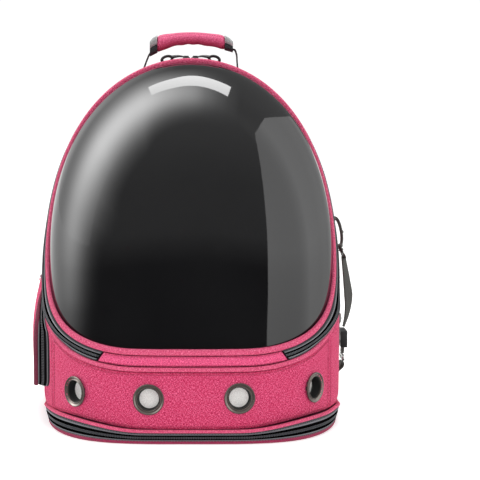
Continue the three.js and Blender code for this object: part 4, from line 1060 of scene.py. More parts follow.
for nm, sd in (("left", -1.0), ("right", 1.0)):
    bag = Bag()
    bag.solid(rounded_box((0.6, ZIP_MID - 4.3, TOP + 0.9), (8.6, ZIP_MID + 4.3, TOP + 2.1), 0.55) * [sd, 1, 1])
    bag.solid(rounded_box((2.0, ZIP_MID - 1.3, TOP + 1.9), (8.0, ZIP_MID + 1.3, TOP + 4.0), 0.8) * [sd, 1, 1])
    bag.make("zip_slider_body_" + nm, M["black"], "gunmetal", "zip_slider_" + nm)
    bag = Bag()
    strip = spline([(8.0, ZIP_MID, TOP + 2.9), (12, ZIP_MID - 0.6, TOP + 3.4), (16.5, ZIP_MID - 1.2, TOP + 3.1), (22.0, ZIP_MID - 1.6, TOP + 2.0)], 14)
    wide = np.stack([np.linspace(1.4, 3.0, 14), np.linspace(0.75, 1.75, 14)], 1)
    sect = np.stack([rounded(10, w, h, 3.0) for w, h in wide])
    bag.solid(ribbon(strip * [sd, 1, 1], (0, 1, 0.35), sect))
    t = np.arange(48) / 48 * 2 * math.pi
    ring = np.stack([26.0 + 5.7 * np.cos(t), ZIP_MID - 2.2 - 1.2 * np.sin(t), TOP - 0.1 + 3.3 * np.sin(t) - 0.9 * np.cos(t)], 1)
    bag.solid(ribbon(ring * [sd, 1, 1], (0, 1, 0.3), rounded(10, 1.5, 1.6), True), True)
    bag.make("zip_pull_loop_" + nm, M["black"], "gunmetal", "zip_pull_" + nm)


# ------------------------------------------------------------------ left pocket
POCKET = dict(front=-70.0, back=106.0, foot=44.0, head=146.0, low=9.0, head_depth=0.9)
POCKET_OUT = ([-70, -35, 0, 50, 106], [163.5, 167.5, 171.5, 177.0, 175.0])     # the face's distance from the middle plane
POCKET_TAPER = ([92, 100, 108, 116, 124, 131, 137, 142, 146], [0, 0.06, 0.165, 0.285, 0.42, 0.56, 0.71, 0.86, 1.0])     # how far the face has closed in at a height


def pocket_limit(z):
    """How far forward the pocket may come at a height, under the zip's edge."""
    return face(-1.0, edge_plan(z, BODY_EDGE + 4.5), z)[..., 1]


def pocket_loop(step=3.0):
    c = POCKET
    pts = []
    for y, z, ry, rz, start in ((c["back"], c["foot"], c["low"], c["low"], -90), (c["back"], c["head"], 40, 40, 0), (c["front"], c["head"], 66, 60, 90), (c["front"], c["foot"], c["low"], c["low"], 180)):
        cy = y - ry if y == c["back"] else y + ry
        cz = z - rz if z == c["head"] else z + rz
        t = np.radians(start + np.linspace(0, 90, 40))
        pts.append(np.stack([cy + ry * np.cos(t), cz + rz * np.sin(t)], 1))
    p = resample(np.concatenate(pts + [pts[0][:1]]), step=1.0)
    p[:, 0] = np.maximum(p[:, 0], pocket_limit(p[:, 1]) + 7)
    return resample(p, step=step)[:-1]


def wall_x(y, z, side=-1.0):
    """The side wall's distance from the middle plane."""
    y, z = np.broadcast_arrays(np.asarray(y, float), np.asarray(z, float))
    bend = (1 - np.clip(-y / FRONT_REACH, 0, 1) ** PLAN_LOW) ** (1 / PLAN_LOW)
    return arch_half(z) * bend + swell(y, z) + hip(side, QUARTER + y, z)


def pocket_depth(z, y):
    return lerp(np.maximum(np.interp(y, *POCKET_OUT) - wall_x(y, z), 3.0), POCKET["head_depth"], np.interp(z, *POCKET_TAPER))


def on_side(side, y, z, n):
    return np.stack([side * (wall_x(y, z, side) + n), y + 0 * np.asarray(n), z + 0 * np.asarray(n)], -1)


def pocket_root(y, z):
    """Where the gusset meets the wall: further forward than its outer edge at the pocket's front."""
    foot = np.maximum(y - 18 * (1 - smooth(y, -70, -20)), pocket_limit(z))
    return on_side(-1.0, np.minimum(foot, y), z, 0.0)


def pocket_pieces():
    mid = np.array([22.0, 88.0])

    def gusset(step):
        """Along the pocket's edge: the gusset's foot and head, and the direction off it."""
        loop = pocket_loop(step)
        t = unit(np.roll(loop, -1, 0) - np.roll(loop, 1, 0))
        out = np.stack([t[:, 1], -t[:, 0]], 1)
        out = np.where((np.sum(out * (loop - mid), 1) < 0)[:, None], -out, out)
        head = on_side(-1.0, loop[:, 0], loop[:, 1], pocket_depth(loop[:, 1], loop[:, 0]))
        foot = pocket_root(loop[:, 0], loop[:, 1])
        along = np.concatenate([np.zeros((len(t), 1)), t], 1)
        off = unit(np.cross(along, head - foot))
        off = np.where((np.sum(off[:, 1:] * out, 1) < 0)[:, None], -off, off)
        return foot, head, off

    relief = [ # across the gusset's depth: fraction, and relief outward
        (0.0, -2.0), (0.0, 0.0), (0.27, 0.1), (0.29, -0.6), (0.36, -0.6), (0.38, 0.15), (0.44, 0.45), (0.5, -0.2), (0.56, 0.45), (0.62, 0.15),
        (0.64, -0.6), (0.71, -0.6), (0.73, 0.1), (1.0, 0.0), (1.0, -2.0),
    ]
    foot, head, off = gusset(3.0)
    sweep("pocket_zip_tape", np.stack([foot + (head - foot) * f + off * r for f, r in relief], 1), M["pocket_zip"], "side_pocket_gusset", cu=True)
    for k, f in (("inner", 0.325), ("outer", 0.675)):
        sweep("pocket_zip_cord_" + k, ribbon(foot + (head - foot) * f, head - foot, rounded(8, 1.35, 0.6), True), M["cord"], cu=True)
    # pale threads along the gusset: partly painted highlight for light on its ribs
    for k, f in (("inner", 0.16), ("outer", 0.84)):
        sweep("pocket_zip_thread_" + k, ribbon(foot + (head - foot) * f + off * 0.1, head - foot, rounded(6, 0.45, 0.35), True), M["edge_thread"], cu=True)
    foot, head, off = gusset(1.7)
    bag = Bag()
    for f in (0.45, 0.55):
        bag.beads(foot + (head - foot) * f + off * 0.45, head - foot, off, 1.0, 0.95, 0.9, TOOTH)
    bag.make("pocket_zip_coil", M["coil"], "zip_tape", sharp=80)
    # crowned face with a rolled edge
    rings = np.array([1.0, 1.012, 1.015, 1.01, 0.995, 0.97, 0.93, 0.87, 0.78, 0.66, 0.52, 0.36, 0.18, 0.02])
    lift = np.array([0.1, 0.4, 1.0, 1.6, 2.1, 2.3, 2.35, 2.45, 2.6, 2.8, 2.95, 3.05, 3.1, 3.1])
    dense = pocket_loop(2.2)
    yz = mid + (dense - mid)[None] * rings[:, None, None]
    puff = 0.25 * wobble(yz[..., 0] * 0.8 + yz[..., 1], 2.0, 17.0) * smooth(rings, 0.99, 0.8)[:, None]
    groove = -0.5 * np.exp(-((rings - 0.945) / 0.012) ** 2)
    n = 0.35 + pocket_depth(yz[..., 1], yz[..., 0]) + lift[:, None] * (1 - 0.75 * smooth(yz[..., 1], 105, 146)) + groove[:, None] + puff
    outer = on_side(-1.0, yz[..., 0], yz[..., 1], n)
    inner = on_side(-1.0, yz[..., 0], yz[..., 1], 0.35 + pocket_depth(yz[..., 1], yz[..., 0]) + 0.05 + 0 * n)
    k = len(dense)
    f, _, _ = quads(len(rings), k, False, True)
    size = len(rings) * k
    rim = np.stack([np.arange(k), (np.arange(k) + 1) % k, (np.arange(k) + 1) % k + size, np.arange(k) + size], 1)
    last = (len(rings) - 1) * k + np.arange(k)
    verts = np.concatenate([outer.reshape(-1, 3), inner.reshape(-1, 3)])
    faces = [np.concatenate([f[:, ::-1], f + size, rim]), np.stack([last, last[::-1] + size])]
    ob = build("pocket_cloth", verts, faces, M["pink"], [verts[a][..., 1:] / 10 for a in faces], "side_pocket_face")
    # rolled binding round the pocket face; its dark crimson is painted shade for this edge
    edge = on_side(-1.0, dense[:, 0], dense[:, 1], 0.6 + pocket_depth(dense[:, 1], dense[:, 0]))
    size = 2.6 - 1.2 * smooth(dense[:, 1], 105, 146)
    sweep("pocket_edge_binding", ribbon(edge, np.broadcast_to([1.0, 0, 0], edge.shape), np.stack([rounded(12, a, 0.85 * a, 2.4) for a in size]), True), M["crimson"], cu=True)
    line = mid + (dense - mid) * 0.945
    line = np.concatenate([line, line[:1]])
    p = on_side(-1.0, line[:, 0], line[:, 1], 0.35 + pocket_depth(line[:, 1], line[:, 0]) + 1.75)
    stitch(pink_stitches, p, np.broadcast_to([-1.0, 0, 0], p.shape))


pocket_pieces()


# ------------------------------------------------------------------ right mesh pocket
def mesh_pocket():
    front, back, foot, head, root = 20.0, 110.0, 25.0, 96.0, 0.9
    bag = Bag()
    for k in np.arange(front + 2, back, 2.6):
        z = np.linspace(foot + 1, head, 60)
        y = k + 0.75 * np.sin(z / 2.6 * math.pi)
        bag.solid(ribbon(on_side(1.0, y, z, root + 0.55 + 0.2 * np.cos(z / 2.6 * math.pi)), (0, 1, 0), rounded(5, 0.38, 0.26)))
    for k in np.arange(foot + 2, head, 2.6):
        y = np.linspace(front + 1, back - 1, 76)
        z = k + 0.75 * np.sin(y / 2.6 * math.pi)
        bag.solid(ribbon(on_side(1.0, y, z, root + 0.55 - 0.2 * np.cos(y / 2.6 * math.pi)), (0, 0, 1), rounded(5, 0.38, 0.26)))
    bag.make("pocket_net", M["net"], "dark_mesh", "mesh_pocket", sharp=80)
    # binding along the open top, and flat tape along the other edges
    sect = rounded(14, 3.0, 1.25, 3.0)
    y = np.linspace(front - 1, back + 1, 50)
    top = on_side(1.0, y, np.full_like(y, head + 3.0) + 0.3 * wobble(y, 1.0, 14.0), root + 1.3)
    sweep("pocket_binding", ribbon(top, (0, 0, 1), sect), M["bind"], "mesh_pocket_binding")
    hem = Bag()
    edge = np.concatenate([np.stack([np.full(30, front), np.linspace(head, foot + 4, 30)], 1),
                           np.stack([np.linspace(front + 4, back - 4, 40), np.full(40, foot)], 1),
                           np.stack([np.full(30, back), np.linspace(foot + 4, head, 30)], 1)])
    edge = resample(edge, step=2.5)
    p = on_side(1.0, edge[:, 0], edge[:, 1], root + 0.8)
    t = unit(np.gradient(p, axis=0))
    P = ribbon(p, np.cross(t, [1.0, 0, 0]), rounded(10, 2.2, 0.7, 3.0))
    sweep("pocket_hem", P, M["bind"])
    stitch(dark_stitches, p + [0.75, 0, 0], np.broadcast_to([1.0, 0, 0], p.shape), 3.0, 2.2, 0.6, 0.5)
    stitch(dark_stitches, top + [1.3, 0, -1.4], np.broadcast_to([1.0, 0, 0], top.shape), 3.0, 2.2, 0.6, 0.5)


mesh_pocket()


# ------------------------------------------------------------------ soft swelling by cloth simulation
def cloth_swell(ob, voxel, cap, pressure=4.0, pin=None, frames_run=20):
    """Swells a closed mesh by cloth pressure, no point moving more than cap, and keeps the result."""
    sc = bpy.context.scene
    me = ob.data
    start = np.zeros(len(me.vertices) * 3, np.float32)
    me.vertices.foreach_get("co", start)
    if pin is not None:
        group = ob.vertex_groups.new(name="pin")
        for k in np.nonzero(pin)[0]:
            group.add([int(k)], 1.0, "REPLACE")
    mod = ob.modifiers.new("Cloth", "CLOTH")
    st = mod.settings
    st.quality = 5
    st.mass = 0.3
    st.use_pressure = True
    st.uniform_pressure_force = pressure
    st.tension_stiffness = st.compression_stiffness = 15
    st.bending_stiffness = 0.5
    st.effector_weights.gravity = 0.0
    if pin is not None:
        st.vertex_group_mass = "pin"
    mod.collision_settings.use_self_collision = False
    mod.collision_settings.use_collision = False
    sc.frame_start, sc.frame_end = 1, frames_run
    mod.point_cache.frame_start, mod.point_cache.frame_end = 1, frames_run
    for k in range(1, frames_run + 1):
        sc.frame_set(k)
    got = ob.evaluated_get(bpy.context.evaluated_depsgraph_get()).data
    end = np.zeros(len(me.vertices) * 3, np.float32)
    got.vertices.foreach_get("co", end)
    ob.modifiers.remove(mod)
    if pin is not None:
        ob.vertex_groups.remove(group)
    move = (end - start).reshape(-1, 3)
    size = np.linalg.norm(move, axis=1, keepdims=True)
    move *= np.minimum(1.0, cap * MM / np.maximum(size, 1e-9))
    me.vertices.foreach_set("co", (start.reshape(-1, 3) + move).ravel())
    me.update()
    sc.frame_set(1)
    return ob


def voxel_copy(name, P, voxel, mat, closed=False):
    """A remeshed closed solid from sections in millimetres."""
    bag = Bag()
    bag.solid(P, closed)
    me = bpy.data.meshes.new(name)
    me.from_pydata((np.concatenate(bag.v) * MM).tolist(), [], [list(map(int, r)) for f in bag.f.values() for a in f for r in a])
    ob = bpy.data.objects.new(name, me)
    bpy.context.scene.collection.objects.link(ob)
    bm = bmesh.new()
    bm.from_mesh(me)
    bmesh.ops.recalc_face_normals(bm, faces=bm.faces)
    bm.to_mesh(me)
    bm.free()
    mod = ob.modifiers.new("Remesh", "REMESH")
    mod.mode, mod.voxel_size = "VOXEL", voxel * MM
    new = bpy.data.meshes.new_from_object(ob.evaluated_get(bpy.context.evaluated_depsgraph_get()))
    ob.modifiers.clear()
    ob.data = new
    new.name = name
    new.materials.clear()
    new.materials.append(mat)
    new.polygons.foreach_set("use_smooth", np.ones(len(new.polygons), bool))
    return ob


def subdivide(ob, levels=1):
    mod = ob.modifiers.new("Subdivision", "SUBSURF")
    mod.levels = mod.render_levels = levels
    new = bpy.data.meshes.new_from_object(ob.evaluated_get(bpy.context.evaluated_depsgraph_get()))
    ob.modifiers.clear()
    ob.data = new
    return ob


def coords(ob):
    a = np.zeros(len(ob.data.vertices) * 3, np.float32)
    ob.data.vertices.foreach_get("co", a)
    return a.reshape(-1, 3) / MM


# ------------------------------------------------------------------ back
def back_piece():
    p, nrm = arch_run(WALL_FOOT - 2.2, 260)
    off = swell(BODY_DEPTH, p[:, 1]) - 0.9
    line = p + nrm * off[:, None]
    mid = np.array([0.0, 190.0])
    sections = []
    for y, k in ((120.6, 0.994), (121.6, 1.0), (124.4, 1.0), (125.6, 0.994)):
        r = mid + (line - mid) * k
        sections.append(np.stack([r[:, 0], np.full(len(r), y), r[:, 1]], 1))
    ob = voxel_copy("back_padding", np.stack(sections), 5.0, M["pad"])
    co = coords(ob)
    outward = co[:, 1] > 123.0
    x, z = co[:, 0], co[:, 2]
    edge = np.abs(x) / np.maximum(arch_half(z) + swell(BODY_DEPTH, z), 1)
    seams = [(np.abs(np.abs(x) - 52.0) < 3.0) & (z > 46), np.abs(z - 46) < 3.0, np.abs(z - (300 - 0.25 * np.abs(x))) < 3.0]
    pin = ~outward | (edge > 0.93) | (z < 24) | (z > 372)
    for s in seams:
        pin = pin | s
    cloth_swell(ob, 5.0, 7.0, 5.0, pin)
    settle(ob, "back_panel")
    for sx in (-52.0, 52.0):
        zz = np.linspace(48, 330, 140)
        stitch(pink_stitches, np.stack([np.full_like(zz, sx), np.full_like(zz, 125.9), zz], 1), np.broadcast_to([0, 1.0, 0], (len(zz), 3)))
    xx = np.linspace(-148, 148, 140)
    stitch(pink_stitches, np.stack([xx, np.full_like(xx, 125.9), np.full_like(xx, 46.0)], 1), np.broadcast_to([0, 1.0, 0], (len(xx), 3)))
    # piping around the back's edge
    keep = resample(np.stack([line[:, 0], line[:, 1]], 1), step=3.0)
    path = np.stack([keep[:, 0], np.full(len(keep), 123.0), keep[:, 1]], 1)
    sweep("back_edge_binding", ribbon(path, (0, 1, 0), rounded(12, 2.9, 1.7, 2.4)), M["pipe"])


back_piece()


# ------------------------------------------------------------------ carrying handle
HANDLE_TOP = [(-46.0, 413.0), (-42, 417.6), (-37.3, 419.8), (-20, 422.8), (0, 424.0), (20, 422.8), (38.4, 419.8), (43, 417.6), (47.8, 413.0)]
HANDLE_LOW = [(-46.0, 397.0), (-37, 401.4), (-20, 407.8), (2.4, 410.3), (20, 408.6), (38.4, 404.2), (47.8, 401.6)]


def handle_pieces():
    top, low = spline(HANDLE_TOP, 400), spline(HANDLE_LOW, 400)

    def block(x, depth, lo=0.0, hi=1.0, grow=0.0, power=3.2, corners=32):
        """Upright rounded sections across the handle, over a part of its height."""
        t0, b0 = np.interp(x, top[:, 0], top[:, 1]), np.interp(x, low[:, 0], low[:, 1])
        a, b = lerp(b0, t0, lo) - grow, lerp(b0, t0, hi) + grow
        s = rounded(corners, 1.0, 1.0, power)
        y = 60 + s[None, :, 0] * np.broadcast_to(depth, x.shape)[:, None]
        return np.stack([x[:, None] + 0 * y, y, (a + b)[:, None] / 2 + s[None, :, 1] * ((b - a) / 2)[:, None]], -1)

    x = np.linspace(-37.4, 38.4, 90)
    end = np.minimum(x - x[0], x[-1] - x)
    grip = block(x, 13.6 * (1 - 0.1 * np.exp(-end / 1.6)), grow=-1.0 * np.exp(-end / 1.3), power=2.15)
    core = np.stack([x, np.full_like(x, 60.0), grip[..., 2].mean(1)], 1)[:, None]
    ripple = 0.35 * np.sin(x / 2.6 + 1.4 * np.sin(x / 9.0))[:, None] * smooth(core[..., 2] - grip[..., 2], -1.0, 5.0) * smooth(end, 2, 9)[:, None]
    grip = grip + unit(grip - core) * ripple[..., None]
    ob = sweep("grip_cloth", grip, M["grip"], "handle_grip")
    s = rounded(32, 1.0, 1.0, 2.15)
    for side in (-1, 1):
        k = int(np.argmin((s[:, 0] - 0.75 * side) ** 2 + (s[:, 1] - 0.66) ** 2))
        line = grip[2:-2, k]
        stitch(pink_stitches, line, line - core[2:-2, 0], 2.6, 2.3, 0.9, 0.7, 0.05)
    k = int(np.argmin(s[:, 1]))
    stitch(pink_stitches, grip[3:-3, k], grip[3:-3, k] - core[3:-3, 0], 3.0, 2.3, 0.7, 0.6, 0.0)
    crown = lambda v: SPRING + (TOP - SPRING) * (1 - (v / HALF_WIDTH) ** 2) ** (1 / ARCH_POWER)
    straps = {"left": [(-44.6, 402.0), (-47.0, 398.4), (-49.6, 392.4), (-52.0, 386.0), (-54.2, crown(54.2) + 0.6)],
              "right": [(46.0, 404.6), (49.8, 404.2), (52.0, 399.5), (52.8, 391.0), (53.3, 385.0), (54.0, crown(54.0) + 0.6)]}
    for nm, x0, x1, sd in (("left", -46.0, -37.7, -1), ("right", 47.8, 38.7, 1)):
        w = np.linspace(x0, x1, 34)
        ribs = 0.22 * np.cos(np.arange(34) * 2 * math.pi / 4.2)
        over = block(w, 14.1 + ribs, 0.42, 1.0, 0.3 + ribs, 3.6)
        sweep("handle_end_" + nm, over, M["wrap"], "handle_wrap_" + nm)
        sweep("handle_under_" + nm, block(w, 13.3 + 0.6 * ribs, 0.0, 0.5, 0.1 + 0.5 * ribs, 3.6), M["under"])
        pts = spline([(a, 60.0, b) for a, b in straps[nm]], 40)
        sweep("handle_strap_" + nm, ribbon(pts, (0, 1, 0), rounded(16, 11.5, 0.65, 5.0)), M["under"], "handle_web_" + nm)
        fx = np.linspace(pts[-1, 0] - sd * 1.0, pts[-1, 0] + sd * 22.0, 14)
        off = np.stack([fx, np.full(14, 60.0), crown(fx) + 0.9], 1)
        sweep("handle_foot_" + nm, ribbon(off, (0, 1, 0), rounded(14, 11.5, 0.8, 5.0)), M["under"])
        for dy in (-9.5, 9.5):
            l = off[1:-1] + [0, dy, 0.8]
            stitch(dark_stitches, l, np.broadcast_to([sd * 0.3, 0, 1.0], l.shape), 2.8, 2.1, 0.7, 0.6)


handle_pieces()


# ------------------------------------------------------------------ straps
PAD_LINE = [(46, 132, 358, 50), (54, 148, 345, 54), (68, 164, 320, 58), (88, 170, 290, 58), (110, 166, 262, 56), (130, 156, 238, 50), (141, 149.5, 225, 40), (148.5, 144, 217.5, 24)]
PAD_END = {"right": [(130, 156.5, 240, 50), (146, 149.5, 228, 38), (157, 143.5, 220.5, 25)], "left": PAD_LINE[5:]}
LOWER = {
    "right": dict(top=(172.0, 138.0, 208.0), base=(178.8, 133.0, 175.0), end=(183.8, 132.0, 163.6), twist=(14.0, 28.0, 12.0),
                  web=[(183.8, 132, 163.0), (188.0, 130.5, 133), (190.3, 130, 110.3), (187.6, 129, 88.5), (184.4, 128, 77.5)],
                  lock=(183.4, 127, 64.5), tail=[(183.2, 126.5, 53), (182.8, 126, 46.5)], bar=(182.6, 125.5, 41.5),
                  tab=[(182.4, 125, 35.4), (181.8, 125, 32), (177, 123, 26.5), (171.2, 119, 21.5)]),
    "left": dict(top=(154.5, 140.5, 205.0), base=(157.2, 145.0, 172.0), end=(158.2, 147.5, 161.0), twist=(0.0, 0.0, 0.0),
                 web=[(158.3, 147.6, 160.4), (160, 152, 133), (160.5, 153, 110), (159.5, 149, 88), (158.2, 147, 78)],
                 lock=(157.8, 146.5, 64.5), tail=[(157.6, 146, 53), (157.4, 145.5, 46.5)], bar=(157.2, 145, 41.5),
                 tab=[(157, 145, 35.4), (156.9, 145, 32), (156.3, 139.5, 27), (155.5, 133, 22)]),
}
Y = np.array([0.0, 1.0, 0.0])


def hardware(node, name, mat, width=0.8, segments=3):
    """A CAD piece with its edges rounded."""
    me = NODES[node].data.copy()
    bm = bmesh.new()
    bm.from_mesh(me)
    bmesh.ops.remove_doubles(bm, verts=bm.verts, dist=1e-6)
    bmesh.ops.dissolve_limit(bm, angle_limit=math.radians(2), verts=bm.verts, edges=bm.edges)
    bm.to_mesh(me)
    bm.free()
    me.name = name
    me.materials.clear()
    me.materials.append(mat)
    ob = bpy.data.objects.new(name, me)
    bpy.context.scene.collection.objects.link(ob)
    mod = ob.modifiers.new("Bevel", "BEVEL")
    mod.width, mod.segments, mod.limit_method, mod.angle_limit = width * MM, segments, "ANGLE", math.radians(35)
    mod.use_clamp_overlap = True
    new = bpy.data.meshes.new_from_object(ob.evaluated_get(bpy.context.evaluated_depsgraph_get()))
    ob.modifiers.clear()
    ob.data = new
    new.polygons.foreach_set("use_smooth", np.ones(len(new.polygons), bool))
    new.set_sharp_from_angle(angle=math.radians(40))
    return settle(ob, node)


def bar_ring(name, centre, u, v, half_u, half_v, bar, mat, node):
    t = np.arange(64) / 64 * 2 * math.pi
    c, s = np.cos(t), np.sin(t)
    p = np.sign(c)[:, None] * np.abs(c)[:, None] ** 0.7 * half_u * u + np.sign(s)[:, None] * np.abs(s)[:, None] ** 0.7 * half_v * v
    p = resample(np.concatenate([p, p[:1]]), count=65)[:-1] + centre
    sweep(name, ribbon(p, np.cross(u, v), rounded(10, bar / 2, bar / 2, 2.0), True), mat, node, cu=True, sharp=80)


def hook_piece(nm, top, base, end):
    """A swivel snap hook: an open bow, a flared collar, a swivel post and the bar that carries the webbing."""
    bag = Bag()
    axis = unit(top - base)
    wide = unit(np.cross(axis, Y))
    length = np.linalg.norm(top - base)
    t = np.arange(72) / 72 * 2 * math.pi
    run, out = (1 - np.cos(t)) / 2, np.sign(np.sin(t)) * np.abs(np.sin(t)) ** 0.75
    bow = base + axis * (length * run)[:, None] + wide * (6.6 * out * (0.82 + 0.18 * run))[:, None]
    bow = resample(np.concatenate([bow, bow[:1]]), count=73)[:-1]
    bag.solid(ribbon(bow, Y, rounded(10, 2.3, 1.9), True), True)
    gate = base + axis * np.linspace(length * 0.2, length * 0.72, 12)[:, None] - wide * 5.6
    bag.solid(ribbon(gate, Y, rounded(10, 2.3, 1.3)))
    knob = base + axis * (length * 0.45) - wide * np.linspace(6.0, 8.6, 5)[:, None]
    bag.solid(ribbon(knob, Y, np.stack([rounded(10, r, r) for r in (1.2, 1.2, 1.7, 1.7, 1.1)])))
    d = unit(end - base)
    post = base + d * np.array([-1.6, -0.6, 1.0, 3.2, 3.4, 4.6, 4.8, 6.6, 6.8, 9.4])[:, None]
    size = [(2.4, 2.6), (4.3, 3.9), (4.5, 4.1), (3.4, 3.4), (2.1, 2.1), (2.1, 2.1), (3.0, 3.0), (3.0, 3.0), (1.9, 1.9), (1.9, 1.9)]
    bag.solid(ribbon(post, Y, np.stack([rounded(16, b, a, 2.4) for a, b in size])))
    a = np.arange(56) / 56 * 2 * math.pi
    c, s = np.cos(a), np.sin(a)
    loop = end + (np.sign(c) * np.abs(c) ** 0.5 * 14.3)[:, None] * Y + (np.sign(s) * np.abs(s) ** 0.5 * 2.6)[:, None] * -d
    bag.solid(ribbon(resample(np.concatenate([loop, loop[:1]]), count=57)[:-1], np.cross(Y, d), rounded(10, 1.35, 1.35), True), True)
    bag.make("swivel_hook_" + nm, M["hook"], "gunmetal", "snap_hook_" + nm, sharp=45)


for nm, sd in (("left", -1.0), ("right", 1.0)):
    mirror = np.array([sd, 1, 1])
    low = LOWER[nm]
    line = spline([(sd * x, y, z, w) for x, y, z, w in PAD_LINE[:5] + PAD_END[nm]], 48)
    p, wide = line[:, :3], line[:, 3]
    t = unit(np.gradient(p, axis=0))
    across = unit(np.cross(t, Y))
    slim = np.stack([(wide - 1.0) / 2, np.full(48, 3.6)], 1)
    h = np.cross(t, across)
    h = np.where((h[:, 1] < 0)[:, None], -h, h)
    P = ribbon(p, across, np.stack([rounded(20, a, b, 3.4) for a, b in slim]))
    ob = voxel_copy("shoulder_padding_" + nm, P, 3.6, M["pad"])
    co = coords(ob)
    near = np.argmin(np.linalg.norm(co[:, None] - p[None], axis=2), axis=1)
    lateral = np.sum((co - p[near]) * across[near], 1)
    sewn = (np.abs(lateral) < 12.5) & (np.sum((co - p[near]) * h[near], 1) > 0)
    pin = (np.abs(lateral) > wide[near] / 2 - 4.5) | sewn | (near < 2) | (near > 45)
    cloth_swell(ob, 3.6, 4.5, 4.0, pin)
    subdivide(ob)
    settle(ob, "shoulder_pad_" + nm)
    rim = np.concatenate([p + across * (wide / 2 - 1.2)[:, None], (p - across * (wide / 2 - 1.2)[:, None])[::-1]])
    rim = resample(np.concatenate([rim, rim[:1]]), step=3.0)[:-1]
    sweep("shoulder_binding_" + nm, ribbon(rim, Y, rounded(12, 3.6, 1.5, 2.6), True), M["pipe"], cu=True)
    # webbing sewn along the pad's outer face and looped through the ring
    top, base, end = (np.array(low[k]) * mirror for k in ("top", "base", "end"))
    lead = unit(p[-1] - top)
    ring = top + lead * 4.2
    strap = (p + h * 4.2)[2:-2]
    path = np.concatenate([strap, [lerp(strap[-1], ring + lead * 6.4, 0.6), ring + lead * 6.6]])
    turn = np.concatenate([across[2:-2], [unit(across[-1] + Y * 0.9 * np.sign(across[-1] @ Y + 0.01)), Y * np.sign(across[-1] @ Y + 0.01)]])
    fine = resample(np.concatenate([path, turn], 1), step=3.0)
    sweep("shoulder_webbing_" + nm, ribbon(fine[:, :3], fine[:, 3:], rounded(14, 11.0, 0.9, 5.0)), M["web"])
    for off in (-9.3, 9.3):
        l = strap[1:-1] + across[3:-3] * off + h[3:-3] * 0.95
        stitch(dark_stitches, l, h[3:-3], 3.0, 2.2, 0.6, 0.5)
    bar_ring("strap_ring_" + nm, ring, Y, unit(lead - Y * (lead @ Y)), 13.6, 6.4, 3.2, M["hook"], "pad_ring_" + nm)
    hook_piece(nm, top, base, end)
    web = spline(np.array(low["web"]) * mirror, 60)
    angle = np.radians(np.interp(np.linspace(0, 1, 60), [0, 0.55, 1], low["twist"]))
    sweep("strap_webbing_" + nm, ribbon(web, np.stack([np.sin(angle), np.cos(angle), 0 * angle], 1), rounded(16, 12.5, 1.1, 6.0)), M["web"], "strap_web_" + nm)
    hardware("ladder_lock_" + nm, "ladder_buckle_" + nm, M["plastic"], 0.9, 3)
    tail = np.linspace(*(np.array(low["tail"]) * mirror), 8)
    sweep("strap_end_" + nm, ribbon(tail, Y, rounded(16, 12.5, 1.1, 6.0)), M["web"], "strap_tail_" + nm)
    bar_ring("strap_wire_" + nm, np.array(low["bar"]) * mirror, Y, np.array([0, 0, 1.0]), 14.5, 2.6, 3.4, M["steel"], "strap_bar_" + nm)
    tab = spline([(sd * x, y, z, w) for (x, y, z), w in zip(low["tab"], (25, 24, 17, 9))], 24)
    sect = np.stack([rounded(14, a / 2, 2.3, 5.0) for a in tab[:, 3]])
    sweep("strap_tab_" + nm, ribbon(tab[:, :3], Y, sect), M["web"], "anchor_tab_" + nm)

pink_stitches.make("pink_stitching", M["stitch"], "pink_fabric", sharp=80)
dark_stitches.make("charcoal_stitching", M["stitch_dark"], "zip_tape", sharp=80)


# ------------------------------------------------------------------ floor, light
def floor():
    g = Graph("pale_floor")
    v = g.obj()
    n = g.noise(v, 3.0, 3.0)
    g.set(Base_Color=g.mix(g.range(n, 0.3, 0.7, 0.0, 1.0), (0.90, 0.90, 0.90), (0.93, 0.93, 0.93)), Roughness=g.range(n, 0.3, 0.7, 0.55, 0.7), Specular_IOR_Level=0.2)
    g.set(Emission_Color=(1.0, 1.0, 1.0, 1.0), Emission_Strength=0.46)
    me = bpy.data.meshes.new("floor")
    k = 96
    ring = [(r * math.cos(a), r * math.sin(a), 0.0) for r in (1.0, 5.0, 40.0) for a in np.arange(k) / k * 2 * math.pi]
    faces = [tuple(range(k))] + [(r * k + i, r * k + k + i, r * k + k + (i + 1) % k, r * k + (i + 1) % k) for r in (0, 1) for i in range(k)]
    me.from_pydata(ring, [], faces)
    me.materials.append(g.mat)
    ob = bpy.data.objects.new("floor", me)
    bpy.context.scene.collection.objects.link(ob)
    ob.visible_glossy = False
    ob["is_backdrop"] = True


floor()


def area(name, place, aim, width, height, radiance, colour=(1, 1, 1)):
    """A softbox: a rectangle of light of a given brightness."""
    data = bpy.data.lights.new(name, "AREA")
    data.shape, data.size, data.size_y = "RECTANGLE", width, height
    data.energy = radiance * math.pi * width * height
    data.color = colour
    ob = bpy.data.objects.new(name, data)
    bpy.context.scene.collection.objects.link(ob)
    ob.location = place
    ob.rotation_euler = (Vector(aim) - Vector(place)).to_track_quat("-Z", "Y").to_euler()
    return ob


